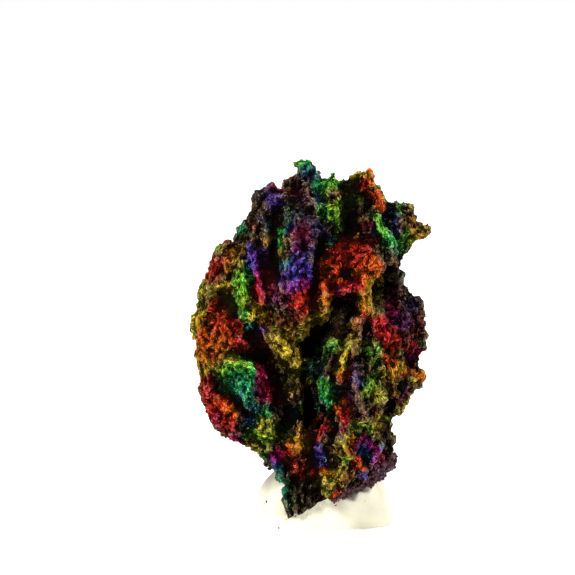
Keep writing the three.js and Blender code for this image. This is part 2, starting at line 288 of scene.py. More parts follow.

# %% Name the strokes
# name, points (across, up), reach and height in millimetres, darkness (painted shade) from 0 to 1
STROKES = [
    # ridges, each with a ditch on either side
    ("violet crest", [(-4.3, 63.4), (-6.6, 61.6), (-8.6, 59.7), (-9.6, 57.9)], 0.9, 0.98, 0),
    ("pink rim", [(-10.5, 57.5), (-11.1, 54.8), (-11.9, 53)], 0.6, 0.6, 0),
    ("magenta ridge", [(-12.1, 52.8), (-10.9, 49.9), (-9.9, 46.6), (-9, 42.7)], 0.8, 0.9, 0),
    ("slab left edge", [(-4.1, 63), (-4.5, 59.3), (-3.9, 54.4), (-3.7, 50.1)], 0.8, 0.5, 0),
    ("teal thread", [(-5.9, 56), (-5.9, 50.1), (-5.1, 44.7)], 0.6, 0.6, 0),
    ("slab right edge", [(1.2, 66.9), (1.4, 62.2), (0.8, 55.4), (-0.6, 44.7)], 0.8, 0.5, 0),
    ("spike ridge", [(11.1, 68.2), (12.1, 64.2), (13.7, 59.5)], 0.9, 0.9, 0),
    ("rim ridge", [(11.9, 59.5), (12.7, 56), (14.6, 55.2), (15.8, 50.1)], 0.8, 0.9, 0),
    ("cushion lip", [(2, 50.5), (1.6, 46.2), (3.1, 43.5), (5.9, 44.5), (9.4, 45.2), (12, 50)], 0.8, 0.6, 0),
    ("cushion tail", [(2.3, 45.4), (2.7, 42.7), (2.9, 39.2)], 1, 0.8, 0),
    ("tan ridge", [(9.2, 45), (9.9, 42.7), (10.1, 40.4), (8.2, 38.4), (6.2, 36.5)], 0.8, 0.9, 0),
    ("ridge fall", [(9.2, 39.2), (9.2, 35.7), (8.6, 33)], 0.8, 0.8, 0),
    ("lime edge", [(7.4, 34.9), (6, 31.4), (4.9, 27.5)], 0.7, 0.8, 0),
    ("leaf edge", [(1.2, 33.9), (0, 30), (0, 26.1), (1.2, 22.8), (2, 20.3)], 0.7, 0.7, 0),
    ("flank ridge", [(8.2, 34.5), (8.2, 27.1), (10.1, 20.9)], 0.7, 0.6, 0),
    ("bulge ring", [(10.1, 25.9), (11.3, 27.1), (12.9, 26.3), (13.3, 24.4), (12.5, 22.4), (10.5, 22.8)],
     0.8, 0.3, 0),
    ("wing spur", [(15, 30.6), (15.8, 26.1), (16.8, 21.3)], 0.7, 0.5, 0),
    ("tan tongue edge", [(5.3, 22.2), (5.9, 18.3), (6.2, 15), (8.2, 12.3)], 0.6, 0.5, 0),
    ("orange fin", [(9, 13.1), (9.8, 11.1), (10.1, 9.2)], 0.6, 0.7, 0),
    ("olive rim", [(-9.2, 37.8), (-7.8, 34.5), (-6.2, 31.4), (-5.5, 29.4)], 0.5, 0.7, 0),
    ("yellow crest", [(-7.4, 36.5), (-5.1, 34.3), (-2.3, 31.4)], 1.2, 0.7, 0),
    ("yellow knob", [(-10.5, 41.5), (-10.9, 39.2)], 0.8, 0.6, 0),
    ("red rib", [(-9, 30), (-8, 27.1), (-8.2, 23.6)], 1, 0.8, 0),
    ("green ridge", [(-13.1, 50.1), (-12.5, 45.6), (-12.5, 40.8)], 1.2, 0.6, 0),
    ("teal brow", [(-16.6, 31.4), (-14, 30.8), (-11.3, 30.4), (-10.1, 28.7)], 1, 0.8, 0),
    ("teal rib", [(-16.4, 27.1), (-14, 24.6), (-11.7, 22.2)], 0.6, 0.5, 0),
    ("orange rib", [(-19.7, 26.7), (-17.2, 24), (-14, 20.9)], 0.9, 0.7, 0),
    ("foot thread", [(-7.8, 15.4), (-7, 12.5), (-5.9, 8.6), (-5.1, 5.7)], 0.5, 0.6, 0),
    ("foot bar 1", [(-4.9, 4.9), (-3.9, 0.6)], 0.4, 0.5, 0),
    ("foot bar 2", [(-3.1, 7.6), (-2.7, 0.6)], 0.4, 0.5, 0),
    ("foot bar 3", [(-1.6, 8), (-1.4, 0.6)], 0.4, 0.5, 0),
    ("foot bar 4", [(0.2, 7.6), (-0.8, 2.1)], 0.4, 0.5, 0),
    # broad swellings, and the forms in dark places, with painted shade
    ("olive flank", [(10.9, 44.7), (11.7, 38.8), (12.1, 33.9)], 1.5, 1.2, 0),
    ("knuckles", [(-7.4, 59.9), (-8.2, 56), (-8.6, 52.5)], 1.5, 1.5, 0),
    ("brown bank", [(13.3, 48.6), (13.8, 44.7), (12.5, 40.4)], 1.5, 1.5, 0),
    ("thread bank", [(-5.1, 54.8), (-4.9, 50.1), (-4.3, 45)], 1, 1.1, 0),
    ("neck", [(16.4, 50.1), (16.8, 45.6), (17.6, 42.7)], 1.5, 0.7, 0),
    ("hollow knob", [(9.2, 61.4), (9.8, 59.1), (9.9, 56.7)], 1.3, 0.8, 0.5),
    ("cave wall", [(4.1, 41.5), (5.9, 39.8), (5.5, 37.1), (3.5, 34.3)], 2, 1.2, 0.15),
    # clefts, pits and hollows, with painted shade
    ("foot shade", [(-3.9, 7.6), (-3.1, 3.5), (0.4, 5.5)], 3, -0.1, 0.45),
    ("dusky shoulder", [(-9.4, 64.2), (-9.4, 61.2), (-10.5, 58.7)], 2, -0.2, 0.55),
    ("crest shade", [(-7.8, 59.3), (-5.9, 59.5)], 1, -0.5, 0.7),
    ("slab left cleft", [(-6.8, 57.9), (-6.8, 51.5), (-6.6, 47.6)], 0.9, -1.2, 0.9),
    ("magenta hollow", [(-9.9, 53.2), (-8.6, 50.1), (-7.8, 48.6)], 1.1, -0.8, 0.8),
    ("slab right cleft", [(1.8, 53.2), (1.4, 48.6), (0.6, 43.7), (0.4, 40.4)], 0.9, -1.2, 0.9),
    ("big cleft", [(7.4, 64.2), (7.2, 60.3), (7.8, 56.7), (8.2, 54.8)], 1.3, -1.2, 0.9),
    ("rim groove", [(14, 60.8), (14.4, 57.9), (15.4, 56), (16.4, 53.2)], 0.7, -0.7, 0.5),
    ("cushion shade", [(2.9, 54.4), (6.8, 54.4), (9.8, 54.2)], 0.9, -0.8, 0.7),
    ("cushion pit", [(6, 47.8), (6.6, 47.6)], 0.9, -1.2, 0.9),
    ("cave", [(4.3, 42.5), (6.8, 42.7), (8.2, 43.3)], 1.3, -0.8, 0.7),
    ("cave floor", [(3.9, 40.8), (2.3, 36.9), (0.4, 33.9)], 1.3, -0.8, 0.7),
    ("tail cleft", [(1, 38.4), (0, 33.9), (-1.4, 29.1)], 1, -0.8, 0.8),
    ("wing pit", [(-16.8, 43.1), (-14.4, 41.7), (-14.8, 40.2)], 1, -1, 0.85),
    ("wing pit left", [(-20.5, 42.7), (-20.1, 41.1)], 0.8, -0.8, 0.75),
    ("wing pit top", [(-15, 48.9), (-15.4, 46.6)], 0.6, -0.6, 0.6),
    ("maroon hollow", [(-11.1, 35.3), (-10.1, 32.6), (-7.4, 31.8)], 1.5, -0.6, 0.75),
    ("teal foot cleft", [(-17.2, 27.5), (-15.2, 25.5), (-13.3, 22.8), (-12.1, 20.9)], 0.8, -0.9, 0.8),
    ("deep cleft left", [(-6.6, 28.3), (-5.9, 23.2), (-3.9, 20.9), (-5.1, 17.4)], 1.6, -0.6, 0.7),
    ("deep cleft right", [(0.4, 26.1), (0, 22.2), (0, 17.4), (-0.2, 12.5)], 0.9, -1, 0.9),
    ("tongue cleft", [(4.1, 20.9), (4.3, 17.7), (3.5, 15.4)], 0.7, -0.8, 0.8),
    ("ember pit", [(17.7, 33.9), (17.9, 32.2)], 0.5, -0.5, 0.7),
    ("wing pit low", [(15.2, 22.6), (15.4, 21.6)], 0.8, -0.8, 0.8),
    ("knob cleft", [(14.6, 27.9), (14.4, 24)], 0.5, -0.5, 0.5),
    ("blue seam", [(10.7, 12.5), (11.3, 9.6)], 0.5, -0.5, 0.6),
    ("foot cleft", [(0.2, 11.1), (1.2, 7.2), (2.1, 4.5)], 1, -0.6, 0.6),
    ("hem pit", [(-9.4, 15), (-8.8, 13.5)], 0.7, -0.5, 0.6),
    ("leaf hollow", [(2.3, 32.6), (1.6, 28.7), (2.3, 24.4)], 0.8, -0.6, 0.3),
    ("leaf inside", [(4.1, 32.6), (4.5, 28.7), (4.5, 24.4)], 1.1, -0.5, 0.5),
    # stretches of painted shade, and one last pit
    ("tan tongue shade", [(4.7, 14.2), (4.5, 9.9)], 1.2, -0.2, 0.45),
    ("brow shade", [(-2.7, 65.3), (-2.5, 61.2)], 1.8, -0.1, 0.4),
    ("slab shade", [(-2, 56.4), (-1.4, 51.7)], 2, -0.1, 0.5),
    ("horn shade", [(19.1, 59.9), (20.3, 56.7), (21.6, 56.7)], 2.2, 0, 0.35),
    ("slab dusk", [(-3, 60), (0.5, 58.5)], 2, 0, 0.35),
    ("teal shade", [(-14.5, 27.5), (-12, 24)], 2, 0, 0.3),
    ("rib shade", [(-8.7, 30), (-8.3, 24)], 1.3, 0, 0.35),
    ("red flank shade", [(14, 38.5), (13.2, 36.5)], 1.5, 0, 0.25),
    ("thread shade", [(-6.8, 13.5), (-6.5, 11)], 1.2, 0, 0.3),
    ("neck shade", [(16, 47.5), (17.5, 44.5)], 2, 0, 0.3),
    ("wing dusk", [(18.3, 41.5), (19.5, 36.9), (20.3, 33)], 2.5, 0, 0.35),
    ("knuckle shade", [(-9.4, 57.9), (-9.4, 53.2)], 1.3, 0, 0.4),
    ("bulge pit", [(11.5, 24.8), (11.7, 24)], 0.6, -0.5, 0.5),
]
dull = sum(height == 0 for _, _, _, height, _ in STROKES)
print(len(STROKES), "strokes, of which", dull, "only darken")

# %% Name the nudges and the bank
# name, place (across, up), reach, move (across, up), all in millimetres
NUDGES = [
    ("spike side", (14.2, 65.7), 2.6, (-2, 0)),
    ("shoulder of the right wing", (22.6, 42.1), 3.2, (-0.9, -0.7)),
    ("edge of the right wing", (23, 39.2), 2.5, (-0.6, 0)),
    ("notch over the knob", (21.4, 31.4), 1.8, (-0.9, 0.3)),
    ("left shoulder", (-13.8, 57.5), 3, (0.2, -0.2)),
    ("left edge", (-21.4, 47), 2, (0.8, 0)),
    ("lower left edge", (-20.1, 20.1), 2.6, (0.6, 0)),
    ("left bulge", (-21.6, 24.6), 2.2, (-0.8, 0)),
    ("foot, left side", (-7.4, 6.4), 3.4, (1.4, 0)),
    ("underside of the druse", (11.7, 4.9), 4, (0, 1.7)),
    ("underside of the tongue", (8.4, 3.7), 3, (0, 1.7)),
    ("end of the druse", (15.6, 8.6), 1.8, (-0.6, 0.6)),
    ("neck side", (17.9, 49), 1.7, (-0.8, 0)),
    ("top of the right wing", (19.9, 44.5), 1.5, (-0.5, -0.7)),
    ("thread of the foot", (-7, 8.2), 1.6, (0.7, 0)),
    ("lower left bulge", (-19, 17.8), 2, (-0.4, -0.4)),
    ("side of the crown", (-3.7, 67.5), 1.6, (0.7, 0)),
    ("beside the crown", (2.7, 67.1), 1.5, (0, 0.8)),
    ("crown nub", (-3.1, 70.4), 1, (-0.2, -1)),
    ("crown", (-0.6, 69), 1.4, (0, 0.6)),
    ("fin top", (18.5, 61), 2.4, (0.2, 0.9)),
    ("notch of the horn", (21.3, 58.7), 1.5, (-0.8, -0.7)),
    ("under the horn", (19.3, 52.3), 2, (0, 0.8)),
    ("chin of the horn", (21.4, 53.4), 1.2, (0, -0.7)),
    ("under the right wing", (17, 19.1), 2, (-0.6, 0.5)),
    ("lower edge of the wing", (20.7, 25), 2, (0.5, -0.4)),
    ("hem", (-11.3, 13.3), 2.5, (0.3, 0.6)),
    ("heel of the left wing", (-16.4, 15.4), 2, (0.3, 0.5)),
    ("shoulder tooth", (-16.2, 54.4), 1.2, (0, 0.9)),
]
# name, points (across, up), reach, how far it comes forward, all in millimetres
BANKS = [
    ("cave wall", [(4.1, 41.5), (5.8, 39.8), (5.5, 37), (3.5, 34.3)], 1.8, 4.5),
]
print(len(NUDGES), "nudges, and banks:", len(BANKS))


# %% Move places by the nudges and the bank
# in millimetres: a bank leaves alone what is in front of this, and eases off this far behind it
BANK_FRONT = -13
BANK_EASE = 4


def nearness(flat, middle, reach):
    """1 at a flat place, and next to nothing at twice the reach from it."""
    return np.exp(-np.sum((flat - middle) ** 2, axis=1) / reach ** 2)


def bell(gaps):
    """1 where a gap is nothing, and next to nothing where it is two."""
    return np.exp(-gaps ** 2)


def gap_to_run(spots, start, end):
    """The distance of each place from the straight run between two points."""
    start = np.array(start)
    run = np.array(end) - start
    share = np.clip((spots - start) @ run / (run @ run), 0, 1)
    return np.linalg.norm(spots - start - share[:, None] * run, axis=1)


def gap_to_line(spots, points):
    """The distance of each place from a line through several points."""
    return np.min([gap_to_run(spots, *ends) for ends in zip(points, points[1:])], axis=0)


def nudged(spots, nudges):
    """Places in millimetres after some nudges, which move them across and up."""
    flat = seen_flat(spots)
    moved = spots.copy()
    for _, middle, reach, move in nudges:
        moved += nearness(flat, middle, reach)[:, None] * in_space(*move)
    return moved


def forward(spots, sight):
    """How far the banks bring each place in sight towards the viewer, in millimetres."""
    flat = seen_flat(spots)
    total = np.zeros(len(spots))
    for _, points, reach, height in BANKS:
        total += height * bell(gap_to_line(flat, points) / reach)
    return total * sight * np.clip((spots[:, 1] - BANK_FRONT) / BANK_EASE, 0, 1)


# %% Find what the viewer sees
SIGHT_REACH = 14 * MM
SIGHT_LIFT = 0.4 * MM
# skin whose normal points further away from the viewer than this is out of sight
FACES_AWAY = -0.2


def in_sight(mesh):
    """1 for the points that the viewer sees, and 0 for those behind another lobe."""
    places = places_of(mesh)
    facings = facings_of(mesh)
    tree = tree_of(places, corners(mesh))
    ahead = Vector(TOWARD)
    sight = (facings @ TOWARD > FACES_AWAY).astype(float)
    for number in np.flatnonzero(sight):
        start = Vector(places[number] + facings[number] * SIGHT_LIFT)
        if tree.ray_cast(start, ahead, SIGHT_REACH)[0] is not None:
            sight[number] = 0
    return sight


# %% Follow the strokes
# how strong in millimetres, its size in millimetres, its seed
STROKE_SWAY = (0.3, 1.6, 80)
# a painted highlight: raised skin looks at least this open, so its colour is brighter
RIDGE_LIGHT = 0.55
# in millimetres
FULL_RIDGE = 1
# next to the ridge's own width and height
DITCH_WIDTH = 2.3
DITCH_DEPTH = 0.6


def drawn(spots, sight):
    """The strokes' heights in millimetres, the ridges' painted light and the clefts' painted shade."""
    flat = seen_flat(spots) + layer(drift, spots, STROKE_SWAY)[:, :2]
    heights = np.zeros(len(spots))
    light = np.zeros(len(spots))
    passed = np.ones(len(spots))
    for _, points, reach, height, darkness in STROKES:
        gap = gap_to_line(flat, points) / reach
        share = bell(gap) * sight
        heights += share * height
        if 0 < height < FULL_RIDGE:
            heights += (share - bell(gap / DITCH_WIDTH) * sight) * height * DITCH_DEPTH
        passed *= 1 - share * darkness
        if height > 0:
            light = np.maximum(light, share * RIDGE_LIGHT)
    return heights, light, 1 - passed


# %% [markdown]
# ## Folds and pits
#
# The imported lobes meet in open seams, and the real ones have grown together. Swelling the
# skin, wrapping it again and shrinking it back closes the seams and keeps the outline. Folds
# are noise, some drawn out along the growth, which fans out from the foot, and some straight up.
# Pores are round. The felt will mat into a net of cords, so the skin rises under each cord.
# An inward push stops short of the far side, so that thin blades stay whole.

# %% Close the seams
STONE_GRID = 0.43 * MM
WRAP_ROUNDS = 4
REWRAP_ROUNDS = 2
SWELL = 0.75 * MM
SWELLS = 2
# the share of the stone's thickness that a push may take
MOST_SHRINK = 0.3
MOST_PIT = 0.15
THICK = 6 * MM
UNDER_SKIN = 0.05 * MM


def thickness(mesh):
    """How far it is through the stone behind each point, up to a full thickness."""
    places = places_of(mesh)
    tree = tree_of(places, corners(mesh))
    depths = np.full(len(places), THICK)
    for number, (place, facing) in enumerate(zip(places, facings_of(mesh))):
        inward = Vector(-facing)
        hit = tree.ray_cast(Vector(place) + inward * UNDER_SKIN, inward, THICK)
        if hit[0] is not None:
            depths[number] = hit[3]
    return depths


def wrapped_again(skin, name):
    """The skin in a fresh even grid, in place of the old one."""
    fresh = grid_skin(name, skin.data, STONE_GRID, REWRAP_ROUNDS)
    bpy.data.objects.remove(skin)
    return fresh


stone = grid_skin("lobes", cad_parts["goethite"].data, STONE_GRID, WRAP_ROUNDS)
for _ in range(SWELLS):
    push(stone, np.full(len(stone.data.vertices), SWELL))
    stone = wrapped_again(stone, "swollen")
for _ in range(SWELLS):
    stone = wrapped_again(stone, "goethite_body")
    push(stone, -np.minimum(SWELL, thickness(stone.data) * MOST_SHRINK))

# %% Move the outline and the cave's wall
BANK_ROUNDS = 5

spots = nudged(places_of(stone.data) / MM, NUDGES)
move_to(stone.data, spots * MM)
edges = edge_pairs(stone.data)
seen = in_sight(stone.data)
spots = spots + forward(spots, neighbour_mean(seen, edges, BANK_ROUNDS))[:, None] * TOWARD
move_to(stone.data, spots * MM)
print("the viewer sees", int(seen.sum()), "of", len(seen), "points")

# %% Fold and pit the stone
# lengths are in millimetres; stretches and levels are plain numbers
SEAT = np.array([0, 3, -4])
GROWTH_REACH = 36
GROWTH_STRETCH = 0.28
UPRIGHT_STRETCH = 0.55
NET_SIZE, NET_SEED = 0.95, 8
NET_STRETCH = 0.6
NET_DEPTH = 0.55
NET_LEVEL = 0.5
CREST_LEVEL = 0.4
INSET = 0.25
MOST_RISE = 1.2

# each is how strong in millimetres, its size in millimetres, its seed
NET_SWAY = (0.4, 1.3, 90)
GROWN_SWAY = (0.8, 4, 40)
UPRIGHT_SWAY = (1.2, 3, 43)
GROWN_LUMPS = (0.3, 5, 1)
GROWN_FOLDS = (0.6, 3.4, 2)
UPRIGHT_FOLDS = (0.7, 4.2, 6)
UPRIGHT_CREASES = (0.8, 1.7, 3)
BROAD_PORES = (0.35, 2.2, 4)
FINE_PORES = (0.4, 1.1, 5)


def grown(spots):
    """Places in which noise is drawn out along the growth, which fans out from a seat."""
    arms = spots - SEAT
    reach = np.linalg.norm(arms, axis=1, keepdims=True)
    return arms / reach * GROWTH_REACH + np.array([0, 0, GROWTH_STRETCH]) * reach


def net(spots):
    """The felt's net at each place in millimetres: 0 in its pores and 1 on its cords."""
    warped = (spots + layer(drift, spots, NET_SWAY)) * (1, 1, NET_STRETCH)
    return webs(warped, NET_SIZE, NET_SEED)


fanned = grown(spots + layer(drift, spots, GROWN_SWAY))
upright = (spots + layer(drift, spots, UPRIGHT_SWAY)) * (1, 1, UPRIGHT_STRETCH)
folds = layer(lumps, fanned, GROWN_LUMPS) + layer(crests, fanned, GROWN_FOLDS, CREST_LEVEL)
folds += (layer(crests, upright, UPRIGHT_FOLDS, CREST_LEVEL)
          + layer(crests, upright, UPRIGHT_CREASES, CREST_LEVEL))
folds += NET_DEPTH * (net(spots) - NET_LEVEL)
folds += layer(pores, spots, BROAD_PORES, 1) + layer(pores, spots, FINE_PORES, 1)
folds -= folds.mean() + INSET
rise, light, darkness = drawn(spots, seen)
folds = np.minimum(folds + rise, MOST_RISE) * MM
push(stone, np.maximum(folds, -thickness(stone.data) * MOST_PIT))
print("folds from", (folds.min() / MM).round(2), "to", (folds.max() / MM).round(2), "mm")

# %% [markdown]
# ## How open and how sharp the stone is
#
# The colour carries painted shade and painted highlight: open skin and crests are painted bright,
# and the deep parts are painted black, since a render's shadows alone are too weak for that. Here
# rays leave each point in all directions, and the share that gets away is how open it is. Crests
# are the points that stand out from their neighbours' average.

# %% Measure how open each point is
REACH = 9 * MM
LIFT = 0.25 * MM
RAYS = 26
# rays that lean closer to the skin than this are left out
GRAZING = 0.1
SEEN_ROUNDS = 4
# how bright the darkest cleft stays under the strokes' painted shade
LEAST_SHADE = 0.3


def even_arrows(count):
    """Arrows spread evenly over a sphere, on a spiral from pole to pole."""
    golden_angle = math.pi * (3 - math.sqrt(5))
    turns = np.arange(count) * golden_angle
    heights = 1 - (np.arange(count) + 0.5) * 2 / count
    widths = np.sqrt(1 - heights ** 2)
    return np.stack([widths * np.cos(turns), widths * np.sin(turns), heights], axis=1)


def openness(places, facings, tree):
    """The share of the rays from each place that meets nothing within reach."""
    arrows = even_arrows(RAYS)
    open_share = np.empty(len(places))
    rays = [Vector(arrow) for arrow in arrows]
    slants = facings @ arrows.T
    starts = places + facings * LIFT
    for number, start in enumerate(starts):
        origin = Vector(start)
        free = 0
        total = 0
        for ray, slant in zip(rays, slants[number]):
            if slant > GRAZING:
                total += slant
                if tree.ray_cast(origin, ray, REACH)[0] is None:
                    free += slant
        open_share[number] = free / total
    return open_share


# from here on these hold one row or value for each of the stone's points, or its triangles
stone_places = places_of(stone.data)
stone_facings = facings_of(stone.data)
stone_triangles = corners(stone.data)
stone_tree = tree_of(stone_places, stone_triangles)
# painted shade: how open a point is darkens its colour in the clefts
opens = neighbour_mean(openness(stone_places, stone_facings, stone_tree), edges)
# the strokes paint a highlight on the ridges and shade in the clefts
opens = np.maximum(opens, light) * (1 - darkness)
stroke_shade = 1 - (1 - LEAST_SHADE) * darkness
seen = neighbour_mean(seen, edges, SEEN_ROUNDS)
print("open share: mean", opens.mean().round(2), "least", opens.min().round(2))

# %% Measure how each point stands out
FINE_ROUNDS, FINE_HEIGHT = 5, 0.14 * MM
BROAD_ROUNDS, BROAD_HEIGHT = 40, 0.7 * MM


def standing_out(rounds, full):
    """How far each point stands out from the average of its surroundings, from -1 to 1."""
    average = neighbour_mean(stone_places, edges, rounds)
    return np.clip(np.sum((stone_places - average) * stone_facings, axis=1) / full, -1, 1)


# a point's height also paints a highlight into its colour
crest = (standing_out(FINE_ROUNDS, FINE_HEIGHT) + standing_out(BROAD_ROUNDS, BROAD_HEIGHT)) / 2
shade = (1 + crest) / 2
cords = net(stone_places / MM)
print("crest: mean", crest.mean().round(2), "spread", crest.std().round(2))

# %% [markdown]
# ## Where each colour lies
#
# Each lobe carries its own film, so neighbouring lobes differ. One noise texture would put the
# colours anywhere. Instead the colours that make this piece itself are placed on the plane that
# faces the viewer, as the ridges are. A hue is a turn round a colour wheel, so mixing two of them
# averages their arrows. Opposite hues cancel to plain brown, which is what the real boundaries
# show. Beyond the named places, such as on the back, noise goes on in the same manner.

# %% The colour wheel and the named places
GOLD, YELLOW, ORANGE, RED, CRIMSON = 0.0, 0.08, 0.16, 0.25, 0.33
MAGENTA, VIOLET, BLUE, TEAL, GREEN, LIME = 0.42, 0.51, 0.60, 0.70, 0.80, 0.91
# grey is hardly vivid, so its hue is of little account
GREY = TEAL

